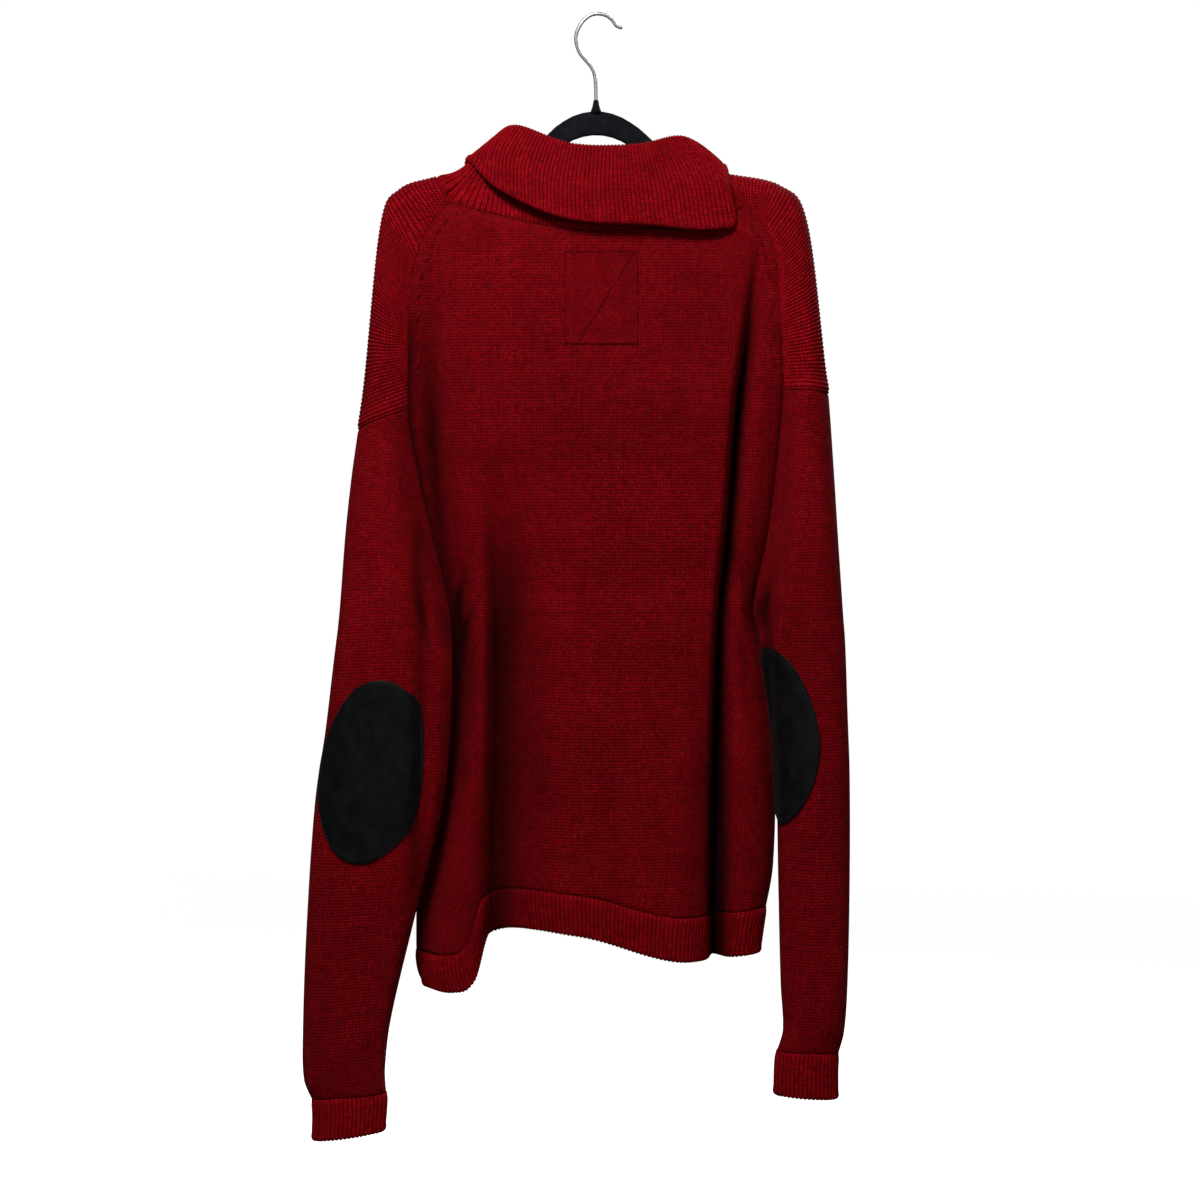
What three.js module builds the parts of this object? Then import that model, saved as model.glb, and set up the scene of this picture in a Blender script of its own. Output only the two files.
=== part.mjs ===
// A wool sweater with a turned-down collar and elbow patches, on a slim hanger.
// Millimetres, +Z up. The origin is the inside top of the hook, and the back faces -Y.
import * as THREE from 'three';

// Driving dimensions
const KNIT = 3;
const SEAM_GAP = 0.4;
const HEM_GAP = 0.8;
const COLLAR_GAP = 3;
const PATCH_WALL = 1.4;
const PATCH_GAP = 2;
const UNDERARM = 1;
const UNDERARM_NOTCH = 4;
const RIB_TOP = 2;
const RIB_END = 3;
const DROP_SEAM = 0.5;
const NECK_DIP = { back: 24, front: 78 };
const HANGER = { thick: 6, height: 22, outlineSteps: 44 };
const WIRE_RADIUS = 1.7;
const COLUMNS = { back: 24, front: 16, sleeve: 14, patch: 8 };

// Each station of a sleeve, from the neck (v 0) to the underarm (1), the cuff (2) and its
// end (3). outer and inner are the section's two edges as [x, z], y its middle, depth half
// its reach front to back, and turn how far round it the cloth goes, in degrees, before it
// runs to the seam, whose places are seam [x, z] and seamY [back, front].
const station = (v, outer, inner, y, depth, turn, seam, seamY) => (
  { v, outer, inner, y, depth, turn, seam, seamY }
);
const LEFT_SLEEVE = [
  station(0.00, [-147, -150], [-127, -188], 0, 13, 78, [-134, -175], [-13, 13]),
  station(0.12, [-179, -161], [-140, -218], 0, 20, 78, [-153, -199], [-20, 20]),
  station(0.26, [-196, -192], [-155, -272], 0, 28, 80, [-168, -248], [-29, 27]),
  station(0.42, [-211, -338], [-166, -326], -3, 32, 95, [-171, -326], [-28, 28]),
  station(0.50, [-217, -381], [-166, -361], -4, 34, 108, [-171, -362], [-24, 27]),
  station(0.65, [-223, -427], [-165, -418], -9, 35, 125, [-163, -417], [-11, 22]),
  station(0.80, [-228, -478], [-160, -472], -14, 36, 135, [-151, -471], [-5, 16]),
  station(1.00, [-233, -551], [-142, -549], -21, 33, 142, [-134, -549], [3, 7]),
  station(1.15, [-238, -596], [-131, -594], -25, 29, 150, [-131, -594], [-22, -19]),
  station(1.30, [-245, -655], [-132, -655], -25, 28, 152, [-133, -655], [-24, -21]),
  station(1.50, [-255, -724], [-139, -722], -24, 29, 154, [-140, -722], [-23, -20]),
  station(1.75, [-263, -842], [-168, -836], -22, 28, 156, [-168, -836], [-21, -18]),
  station(1.90, [-266, -934], [-188, -922], -23, 26, 158, [-188, -922], [-23, -20]),
  station(1.97, [-265, -975], [-193, -966], -22, 23, 160, [-193, -966], [-23, -20]),
  station(2.00, [-258, -992], [-191, -986], -22, 19, 160, [-192, -986], [-23, -20]),
  station(3.00, [-257, -1028], [-193, -1019], -21, 19, 160, [-194, -1019], [-22, -19]),
];
const RIGHT_SLEEVE = [
  station(0.00, [118, -147], [142, -196], 0, 13, 78, [134, -180], [-13, 13]),
  station(0.12, [168, -158], [146, -208], 0, 20, 78, [151, -193], [-20, 20]),
  station(0.26, [192, -190], [160, -244], 0, 28, 80, [164, -228], [-28, 27]),
  station(0.42, [209, -326], [168, -328], -3, 32, 95, [170, -327], [-30, 28]),
  station(0.50, [212, -348], [167, -345], -5, 35, 108, [170, -346], [-26, 27]),
  station(0.65, [217, -425], [166, -420], -10, 36, 125, [164, -421], [-11, 22]),
  station(0.80, [220, -478], [164, -474], -14, 37, 135, [157, -474], [-5, 17]),
  station(1.00, [224, -547], [153, -543], -21, 35, 142, [144, -543], [3, 7]),
  station(1.15, [226, -580], [150, -576], -25, 31, 150, [150, -576], [-22, -19]),
  station(1.30, [228, -640], [158, -638], -25, 31, 152, [158, -638], [-24, -21]),
  station(1.50, [230, -700], [165, -700], -24, 33, 154, [165, -700], [-23, -20]),
  station(1.75, [230, -800], [166, -800], -23, 31, 156, [167, -800], [-22, -19]),
  station(1.90, [228, -890], [169, -888], -23, 27, 158, [169, -888], [-23, -20]),
  station(1.97, [225, -932], [171, -930], -22, 23, 160, [171, -930], [-23, -20]),
  station(2.00, [220, -950], [165, -948], -22, 19, 160, [166, -948], [-23, -20]),
  station(3.00, [219, -990], [163, -986], -20, 19, 160, [164, -986], [-21, -18]),
];

// The body's side seams below the underarm, as [x, y, z].
const BODY_SIDES = [
  { v: 1.0, left: [-134, 5, -550], right: [146, 5, -545] },
  { v: 1.2, left: [-148, 25, -610], right: [159, 20, -604] },
  { v: 1.5, left: [-162, 23, -700], right: [165, 18, -690] },
  { v: 1.8, left: [-165, 16, -800], right: [163, 14, -780] },
  { v: 2.0, left: [-165, 10, -862], right: [156, 10, -820] },
  { v: 3.0, left: [-158, 9, -893], right: [150, 10, -860] },
];
// How far the back and the front stand out past their side seams.
const CROWN = [
  { v: 0.0, back: 18, front: 22 },
  { v: 0.3, back: 9, front: 16 },
  { v: 0.6, back: 26, front: 26 },
  { v: 1.0, back: 46, front: 44 },
  { v: 1.1, back: 60, front: 33 },
  { v: 1.2, back: 66, front: 28 },
  { v: 1.5, back: 65, front: 28 },
  { v: 2.0, back: 54, front: 32 },
  { v: 3.0, back: 51, front: 32 },
];
// Hem heights above (+) or below (-) the line between the side seams, across the body.
const HEM_LIFT = [
  { v: 0.0, lift: 2 },
  { v: 0.09, lift: -3 },
  { v: 0.15, lift: 8 },
  { v: 0.2, lift: 45 },
  { v: 0.45, lift: 38 },
  { v: 0.75, lift: 4 },
  { v: 1.0, lift: 0 },
];
// Soft troughs, each down a line of [x, z] points. widths are its left and right slopes.
const BACK_FOLDS = [
  { line: [[-150, -280], [-146, -450], [-137, -620], [-144, -740], [-160, -900]],
    widths: [18, 14], depth: 36 },
  { line: [[-92, -440], [-91, -640], [-94, -760], [-97, -900]], widths: [13, 36], depth: 40 },
  { line: [[146, -230], [131, -366], [122, -462], [113, -571], [107, -900]],
    widths: [13, 15], depth: 48 },
  { line: [[18, -480], [22, -700], [16, -900]], widths: [30, 30], depth: 6 },
];
const FRONT_FOLDS = [
  { line: [[-70, -420], [-66, -640], [-72, -900]], widths: [22, 22], depth: 18 },
  { line: [[72, -440], [68, -640], [76, -900]], widths: [22, 22], depth: 18 },
];
const FOLD_FADE = 170;

// The collar's four rings, each round from the right side by the front, left and back.
const COLLAR_RINGS = {
  stand: [[110, 0, -139], [96, 24, -156], [44, 29, -190], [-40, 29, -190], [-106, 20, -160],
    [-124, 0, -143], [-96, -18, -152], [-34, -27, -174], [44, -27, -176], [100, -20, -162]],
  fold: [[106, 0, -133], [94, 13, -142], [40, 19, -158], [-36, 18, -154], [-72, 12, -130],
    [-87, 0, -113], [-71, -13, -105], [-22, -23, -123], [36, -24, -124], [79, -20, -116]],
  flap: [[113, 0, -136], [106, 30, -160], [44, 38, -188], [-40, 36, -182], [-92, 24, -146],
    [-104, 0, -123], [-86, -26, -130], [-28, -37, -158], [40, -38, -160], [106, -33, -150]],
  edge: [[118, 0, -140], [112, 36, -186], [46, 47, -222], [-44, 45, -212], [-108, 30, -168],
    [-117, 0, -132], [-88, -34, -163], [-28, -43, -190], [44, -44, -196], [115, -38, -196]],
};

// Elbow patches: middle and half size in the sleeve's own u (round) and v (down). bend
// draws a patch's top and bottom towards the sleeve's inner edge.
const PATCHES = {
  left: { u: 0.308, v: 1.405, halfU: 0.157, halfV: 0.215, bend: 0.028 },
  right: { u: 0.085, v: 1.385, halfU: 0.195, halfV: 0.225, bend: 0.02 },
};

// The hanger's top edge and the hook's route, as [x, z].
const HANGER_TOP = [[-184, -183], [-120, -151], [-56, -118], [-38, -103], [-20, -92], [0, -88],
  [20, -92], [40, -104], [60, -121], [112, -151], [176, -183]];
const HANGER_MIDDLE = HANGER_TOP[5];
const HOOK_ROUTE = [[0, -79], [-2, -52], [-15, -34], [-18.5, -20], [-14.5, -8.5],
  [-7.5, -1], [0, 1.7], [8.5, 0.5], [15, -4], [18.5, -9], [23, -11]];

const radians = (degrees) => THREE.MathUtils.degToRad(degrees);
const mix = (a, b, t) => a + (b - a) * t;
const bell = (distance, width) => Math.exp(-((distance / width) ** 2));

// A smooth value through a table's stations, where read gives one station's number.
function along(table, v, read) {
  const last = table.length - 1;
  const found = table.findIndex((row) => row.v > v);
  const i = found < 0 ? last - 1 : Math.max(0, found - 1);
  const slope = (k) => {
    const a = table[Math.max(0, k - 1)];
    const b = table[Math.min(last, k + 1)];
    return (read(b) - read(a)) / (b.v - a.v);
  };
  const step = table[i + 1].v - table[i].v;
  const t = THREE.MathUtils.clamp((v - table[i].v) / step, 0, 1);
  const rise = (1 - t) ** 2 * t * slope(i) * step;
  const fall = (1 - t) * t ** 2 * slope(i + 1) * step;
  const ease = t * t * (3 - 2 * t);
  return mix(read(table[i]), read(table[i + 1]), ease) + rise - fall;
}

function smoothLine(points, t, closed = false) {
  return new THREE.CatmullRomCurve3(points, closed, 'catmullrom', 0.5).getPoint(t);
}

// Sleeve surface: u 0 at the back seam, round the outer edge, to 1 at the front seam.
function sleevePoint(table, u, v) {
  const at = (read) => along(table, v, read);
  const outer = [at((r) => r.outer[0]), at((r) => r.outer[1])];
  const inner = [at((r) => r.inner[0]), at((r) => r.inner[1])];
  const seam = [at((r) => r.seam[0]), at((r) => r.seam[1])];
  const middle = at((r) => r.y);
  const depth = at((r) => r.depth);
  const turn = at((r) => r.turn);
  const onSection = (share) => {
    const angle = radians(turn * share);
    const across = (1 - Math.cos(angle)) / 2;
    return new THREE.Vector3(
      mix(outer[0], inner[0], across),
      middle + depth * Math.sin(angle),
      mix(outer[1], inner[1], across),
    );
  };
  const points = [
    new THREE.Vector3(seam[0], at((r) => r.seamY[0]), seam[1]),
    ...[-0.9, -0.6, -0.3, 0, 0.3, 0.6, 0.9].map(onSection),
    new THREE.Vector3(seam[0], at((r) => r.seamY[1]), seam[1]),
  ];
  return smoothLine(points, u < 0 ? u + 1 : u);
}

function foldDepth(folds, x, z) {
  let total = 0;
  for (const fold of folds) {
    const line = fold.line.map((point) => ({ v: -point[1], x: point[0] }));
    const start = line[0].v;
    const end = line[line.length - 1].v;
    const centre = along(line, THREE.MathUtils.clamp(-z, start, end), (row) => row.x);
    const fade = THREE.MathUtils.smoothstep(-z, start - FOLD_FADE / 3, start + FOLD_FADE);
    const width = x < centre ? fold.widths[0] : fold.widths[1];
    total += fold.depth * fade * bell(x - centre, width);
  }
  return total;
}

// Body surface: u 0 at the left side, 1 at the right, for the back or the front.
function bodyPoint(face, u, v) {
  const isBack = face === 'back';
  const edge = (table, side) => {
    if (v <= UNDERARM) {
      const point = sleevePoint(table, isBack ? 0 : 1, v);
      const notch = v === UNDERARM ? UNDERARM_NOTCH : 0;
      point.x += side === 'left' ? notch : -notch;
      return point;
    }
    const read = (axis) => along(BODY_SIDES, v, (row) => row[side][axis]);
    return new THREE.Vector3(read(0), read(1), read(2));
  };
  const point = edge(LEFT_SLEEVE, 'left').lerp(edge(RIGHT_SLEEVE, 'right'), u);
  const span = Math.abs(2 * u - 1);
  const crown = along(CROWN, v, (row) => row[face]) * (1 - span ** 4) ** 0.6;
  const outward = isBack ? -1 : 1;
  const dip = NECK_DIP[face] * Math.max(0, 1 - v / UNDERARM) ** 2;
  point.z -= dip * Math.sin(Math.PI * u);
  const hem = THREE.MathUtils.smoothstep(v, UNDERARM, RIB_TOP);
  point.z += hem * along(HEM_LIFT, u, (row) => row.lift);
  const edgeEase = 1 - span ** 6;
  const folds = isBack ? BACK_FOLDS : FRONT_FOLDS;
  point.y += outward * (crown - edgeEase * foldDepth(folds, point.x, point.z));
  return point;
}

// A sheet is a grid of points with a normal at each; rows run down, columns across.
function sheet(rows, columns, surface, closed = false) {
  const points = rows.map((v) => columns.map((u) => surface(u, v)));
  const grid = { points, closed };
  grid.normals = points.map((row, r) => row.map((_, c) => normalAt(grid, r, c)));
  return grid;
}

function normalAt({ points, closed }, r, c) {
  const count = points[0].length;
  const left = closed ? (c + count - 1) % count : Math.max(0, c - 1);
  const right = closed ? (c + 1) % count : Math.min(count - 1, c + 1);
  const up = Math.max(0, r - 1);
  const down = Math.min(points.length - 1, r + 1);
  const across = points[r][right].clone().sub(points[r][left]);
  const below = points[down][c].clone().sub(points[up][c]);
  return across.cross(below).normalize();
}

// The cells [row, column] along one edge of a sheet.
function edgeCells(grid, edge, from = 0, to = Infinity) {
  const lastRow = grid.points.length - 1;
  const lastColumn = grid.points[0].length - 1;
  if (edge === 'top' || edge === 'bottom') {
    const row = edge === 'top' ? 0 : lastRow;
    return grid.points[0].map((_, c) => [row, c]);
  }
  const column = edge === 'left' ? 0 : lastColumn;
  return grid.points.map((_, r) => [r, column]).slice(from, Math.min(to, lastRow + 1));
}

// Two sheets that are sewn share the wall's direction along the seam.
function sew(a, cellsA, b, cellsB) {
  cellsA.forEach(([ra, ca], i) => {
    const [rb, cb] = cellsB[i];
    const shared = a.normals[ra][ca].clone().add(b.normals[rb][cb]).normalize();
    a.normals[ra][ca] = shared;
    b.normals[rb][cb] = shared.clone();
  });
}

// Pull the edges of a sheet back by half a seam gap.
function trim(grid, edges, gap = SEAM_GAP) {
  const moves = [];
  for (const edge of edges) {
    for (const [r, c] of edgeCells(grid, edge)) {
      const inwardRow = edge === 'top' ? r + 1 : edge === 'bottom' ? r - 1 : r;
      const inwardColumn = edge === 'left' ? c + 1 : edge === 'right' ? c - 1 : c;
      const step = grid.points[inwardRow][inwardColumn].clone().sub(grid.points[r][c]);
      moves.push([grid.points[r][c], step.setLength(gap / 2)]);
    }
  }
  moves.forEach(([point, step]) => point.add(step));
}

// The closed wall of a sheet.
function wall(grid, thickness) {
  const { points, normals, closed } = grid;
  const rowCount = points.length;
  const columnCount = points[0].length;
  const positions = [];
  for (const side of [0.5, -0.5]) {
    points.forEach((row, r) => row.forEach((point, c) => {
      const moved = point.clone().addScaledVector(normals[r][c], side * thickness);
      positions.push(moved.x, moved.y, moved.z);
    }));
  }
  const half = rowCount * columnCount;
  const outerAt = (r, c) => r * columnCount + (c % columnCount);
  const indices = [];
  const quad = (a, b, c, d) => indices.push(a, b, c, a, c, d);
  const cells = closed ? columnCount : columnCount - 1;
  for (let r = 0; r < rowCount - 1; r += 1) {
    for (let c = 0; c < cells; c += 1) {
      const corners = [outerAt(r, c), outerAt(r, c + 1), outerAt(r + 1, c + 1), outerAt(r + 1, c)];
      quad(...corners);
      quad(...corners.map((index) => index + half).reverse());
    }
  }
  for (let c = 0; c < cells; c += 1) {
    const top = [outerAt(0, c), outerAt(0, c + 1)];
    const bottom = [outerAt(rowCount - 1, c), outerAt(rowCount - 1, c + 1)];
    quad(top[0], top[0] + half, top[1] + half, top[1]);
    quad(bottom[1], bottom[1] + half, bottom[0] + half, bottom[0]);
  }
  if (!closed) {
    for (let r = 0; r < rowCount - 1; r += 1) {
      const left = [outerAt(r, 0), outerAt(r + 1, 0)];
      const right = [outerAt(r, columnCount - 1), outerAt(r + 1, columnCount - 1)];
      quad(left[1], left[1] + half, left[0] + half, left[0]);
      quad(right[0], right[0] + half, right[1] + half, right[1]);
    }
  }
  const geometry = new THREE.BufferGeometry();
  geometry.setAttribute('position', new THREE.Float32BufferAttribute(positions, 3));
  geometry.setIndex(indices);
  if (signedVolume(positions, indices) < 0) {
    geometry.setIndex(indices.slice().reverse());
  }
  geometry.computeVertexNormals();
  return geometry;
}

function signedVolume(positions, indices) {
  const corner = (i) => new THREE.Vector3().fromArray(positions, indices[i] * 3);
  let total = 0;
  for (let i = 0; i < indices.length; i += 3) {
    total += corner(i).dot(corner(i + 1).cross(corner(i + 2)));
  }
  return total;
}

const steps = (from, to, count) => (
  Array.from({ length: count + 1 }, (_, i) => mix(from, to, i / count))
);

// Rows: the shoulder's are shared by the body, saddles and sleeves.
const saddleRows = [...steps(0, 0.12, 2), ...steps(0.19, DROP_SEAM, 4)];
const armholeRows = steps(DROP_SEAM, UNDERARM, 5);
const sharedRows = [...saddleRows, ...armholeRows.slice(1)];
const lowerBodyRows = steps(UNDERARM, RIB_TOP, 9).slice(1);
const lowerSleeveRows = steps(UNDERARM, RIB_TOP, 12).slice(1);
const ribRows = steps(RIB_TOP, RIB_END, 2);
const across = (count) => steps(0, 1, count);

const group = new THREE.Group();
group.name = 'sweater_on_hanger';
const wool = { color: 0x7d0d14, roughness: 0.95, metalness: 0 };
const suede = { color: 0x0d0e10, roughness: 0.9, metalness: 0 };
const flock = { color: 0x0f1114, roughness: 0.95, metalness: 0 };
const chrome = { color: 0xc8cacc, roughness: 0.15, metalness: 1 };

function add(name, geometry, finish) {
  const mesh = new THREE.Mesh(geometry, new THREE.MeshStandardMaterial(finish));
  mesh.name = name;
  group.add(mesh);
}

// Body panels and hem ribs
const body = {};
const hem = {};
for (const face of ['back', 'front']) {
  const surface = (u, v) => bodyPoint(face, u, v);
  const columns = across(COLUMNS[face]);
  body[face] = sheet([...sharedRows, ...lowerBodyRows], columns, surface);
  hem[face] = sheet(ribRows, columns, surface);
}

// Saddles, sleeves and cuffs
const tables = { left: LEFT_SLEEVE, right: RIGHT_SLEEVE };
const saddle = {};
const sleeve = {};
const cuff = {};
for (const [side, table] of Object.entries(tables)) {
  const surface = (u, v) => sleevePoint(table, u, v);
  saddle[side] = sheet(saddleRows, across(COLUMNS.sleeve), surface);
  sleeve[side] = sheet([...armholeRows, ...lowerSleeveRows], across(COLUMNS.sleeve), surface);
  cuff[side] = sheet(ribRows, across(COLUMNS.sleeve), surface);
}

// Sheets whose columns run the other way round have normals that point out of the
// garment. They are turned, so that sewn sheets agree and all normals point into it.
function turnInward(grid) {
  grid.normals.forEach((row) => row.forEach((normal) => normal.negate()));
}
[body.front, hem.front, saddle.left, sleeve.left, cuff.left].forEach(turnInward);

const armholeCount = armholeRows.length;
const saddleCount = saddleRows.length;
for (const side of ['left', 'right']) {
  for (const [face, sleeveEdge] of [['back', 'left'], ['front', 'right']]) {
    const upper = edgeCells(body[face], side, 0, saddleCount);
    sew(saddle[side], edgeCells(saddle[side], sleeveEdge), body[face], upper);
    const lower = edgeCells(body[face], side, saddleCount - 1, saddleCount - 1 + armholeCount);
    sew(sleeve[side], edgeCells(sleeve[side], sleeveEdge, 0, armholeCount), body[face], lower);
  }
  sew(saddle[side], edgeCells(saddle[side], 'bottom'), sleeve[side], edgeCells(sleeve[side], 'top'));
  sew(sleeve[side], edgeCells(sleeve[side], 'bottom'), cuff[side], edgeCells(cuff[side], 'top'));
  const sideSeam = (grid, from = 0) => edgeCells(grid, side, from);
  const below = sharedRows.length;
  sew(body.back, sideSeam(body.back, below), body.front, sideSeam(body.front, below));
  sew(hem.back, sideSeam(hem.back), hem.front, sideSeam(hem.front));
}
for (const face of ['back', 'front']) {
  sew(body[face], edgeCells(body[face], 'bottom'), hem[face], edgeCells(hem[face], 'top'));
}

// Collar: its first ring is the neck edge of the four pieces it is sewn to.
const SADDLE_SHARE = 0.06;
const neck = [];
function addNeck(grid, from, to, backward) {
  const last = grid.points[0].length - 1;
  for (let i = 0; i < last; i += 1) {
    const column = backward ? last - i : i;
    neck.push({ grid, column, share: (mix(from, to, i / last) + 1) % 1 });
  }
}
addNeck(saddle.right, -SADDLE_SHARE, SADDLE_SHARE, false);
addNeck(body.front, SADDLE_SHARE, 0.5 - SADDLE_SHARE, true);
addNeck(saddle.left, 0.5 - SADDLE_SHARE, 0.5 + SADDLE_SHARE, true);
addNeck(body.back, 0.5 + SADDLE_SHARE, 1 - SADDLE_SHARE, false);
const rings = Object.values(COLLAR_RINGS).map((ring) => (
  new THREE.CatmullRomCurve3(ring.map((p) => new THREE.Vector3(...p)), true, 'catmullrom', 0.5)
));
function collarPoint(index, v) {
  const { grid, column, share } = neck[index];
  const onRings = rings.map((ring) => ring.getPoint(share));
  return smoothLine([grid.points[0][column], ...onRings], v);
}
const collar = sheet(steps(0, 1, 6), neck.map((_, i) => i), collarPoint, true);
turnInward(collar);
neck.forEach(({ grid, column }, i) => sew(collar, [[0, i]], grid, [[0, column]]));

// Elbow patches, made from the sleeve's points and moved out
const PATCH_OFFSET = KNIT / 2 + PATCH_GAP + PATCH_WALL / 2;
function patchSheet(side) {
  const { u: midU, v: midV, halfU, halfV, bend } = PATCHES[side];
  const table = tables[side];
  const spread = steps(-1, 1, COLUMNS.patch);
  const outward = side === 'left' ? 1 : -1;
  const surface = (a, b) => {
    const u = midU - bend * b * b + halfU * a * Math.sqrt(1 - (b * b) / 2);
    const v = midV + halfV * b * Math.sqrt(1 - (a * a) / 2);
    const base = sleevePoint(table, u, v);
    const round = sleevePoint(table, u + 0.01, v).sub(base);
    const down = sleevePoint(table, u, v + 0.01).sub(base);
    const normal = round.cross(down).normalize();
    return base.addScaledVector(normal, outward * PATCH_OFFSET);
  };
  return sheet(spread, spread, surface);
}

trim(collar, ['top'], COLLAR_GAP);
Object.values(body).forEach((grid) => trim(grid, ['bottom'], HEM_GAP));
Object.values(hem).forEach((grid) => trim(grid, ['top'], HEM_GAP));
Object.values(body).forEach((grid) => trim(grid, ['top', 'left', 'right']));
Object.values(hem).forEach((grid) => trim(grid, ['left', 'right']));
Object.values(saddle).forEach((grid) => trim(grid, ['top', 'bottom', 'left', 'right']));
Object.values(sleeve).forEach((grid) => trim(grid, ['top', 'bottom', 'left', 'right']));
Object.values(cuff).forEach((grid) => trim(grid, ['top', 'left', 'right']));

for (const face of ['back', 'front']) {
  add(face, wall(body[face], KNIT), wool);
  add(`hem_${face}`, wall(hem[face], KNIT), wool);
}
for (const side of ['left', 'right']) {
  add(`saddle_${side}`, wall(saddle[side], KNIT), wool);
  add(`sleeve_${side}`, wall(sleeve[side], KNIT), wool);
  add(`cuff_${side}`, wall(cuff[side], KNIT), wool);
  add(`elbow_patch_${side}`, wall(patchSheet(side), PATCH_WALL), suede);
}
add('collar', wall(collar, KNIT), wool);

// Hanger
function hangerGeometry() {
  const corners = HANGER_TOP.map(([x, z]) => new THREE.Vector2(x, z));
  const edge = new THREE.SplineCurve(corners).getSpacedPoints(HANGER.outlineSteps);
  const shape = new THREE.Shape(edge);
  const under = edge.slice().reverse();
  under.forEach((point) => shape.lineTo(point.x * 0.98, point.y - HANGER.height));
  const geometry = new THREE.ExtrudeGeometry(shape, { depth: HANGER.thick, bevelEnabled: false });
  geometry.translate(0, 0, -HANGER.thick / 2);
  geometry.rotateX(Math.PI / 2);
  return geometry;
}
add('hanger', hangerGeometry(), flock);

// Hook
function hookGeometry() {
  const top = new THREE.Vector3(0, 0, HANGER_MIDDLE[1] + SEAM_GAP);
  const route = [top, ...HOOK_ROUTE.map(([x, z]) => new THREE.Vector3(x, 0, z))];
  const section = new THREE.Shape();
  section.absarc(0, 0, WIRE_RADIUS, 0, 2 * Math.PI);
  return new THREE.ExtrudeGeometry(section, {
    curveSegments: 5,
    steps: 44,
    extrudePath: new THREE.CatmullRomCurve3(route),
  });
}
add('hanger_hook', hookGeometry(), chrome);

export default group;
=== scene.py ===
"""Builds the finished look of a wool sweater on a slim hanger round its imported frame.

Metres, +Z up. The origin is the inside top of the hook, and the sweater's back faces -Y.
Every knitted piece is a closed shell on its solid's curves, apart from the right sleeve's
inner edge and patch, which are a few millimetres off them. Ribs and ridges are real relief,
and stitches are fine bump on a UV map measured in metres.
"""
import math

import bmesh
import bpy
import numpy as np
from bpy.props import FloatProperty, FloatVectorProperty, PointerProperty
from mathutils import Matrix, Vector


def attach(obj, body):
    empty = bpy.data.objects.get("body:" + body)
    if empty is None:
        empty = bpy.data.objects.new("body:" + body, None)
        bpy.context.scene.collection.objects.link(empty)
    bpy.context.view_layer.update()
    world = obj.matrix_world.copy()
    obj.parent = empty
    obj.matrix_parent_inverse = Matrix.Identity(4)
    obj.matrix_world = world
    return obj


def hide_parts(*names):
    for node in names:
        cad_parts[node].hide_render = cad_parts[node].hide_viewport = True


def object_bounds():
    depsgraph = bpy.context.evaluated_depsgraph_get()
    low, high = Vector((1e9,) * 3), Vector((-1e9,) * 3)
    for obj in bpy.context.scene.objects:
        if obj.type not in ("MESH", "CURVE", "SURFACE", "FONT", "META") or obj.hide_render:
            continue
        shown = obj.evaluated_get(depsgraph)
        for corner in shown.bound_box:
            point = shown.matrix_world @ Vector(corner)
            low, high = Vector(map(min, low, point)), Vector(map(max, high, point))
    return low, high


bl_info = {
    "name": "Wool Sweater on a Hanger",
    "version": (1, 0, 0),
    "blender": (4, 5, 0),
    "location": "3D View > Sidebar > Sweater",
    "description": "Builds a knitted sweater with elbow patches and a darn, on a slim hanger",
    "category": "Mesh",
}

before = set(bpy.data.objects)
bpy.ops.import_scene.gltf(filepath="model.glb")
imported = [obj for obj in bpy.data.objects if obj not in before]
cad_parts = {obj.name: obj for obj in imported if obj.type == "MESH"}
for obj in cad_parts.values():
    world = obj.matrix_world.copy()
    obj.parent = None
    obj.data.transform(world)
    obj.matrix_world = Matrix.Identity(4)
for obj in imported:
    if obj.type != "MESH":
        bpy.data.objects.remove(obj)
CAD_LOW, CAD_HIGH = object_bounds()

MM = 0.001
ROOT = "root"

# Places down the garment: the drop seam, the underarm, the top of the ribs and their ends.
DROP_SEAM = 0.5
UNDERARM = 1.0
RIB_TOP = 2.0
RIB_END = 3.0

# ---------------------------------------------------------------------------
# The sweater's own sizes, in millimetres
# ---------------------------------------------------------------------------

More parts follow.
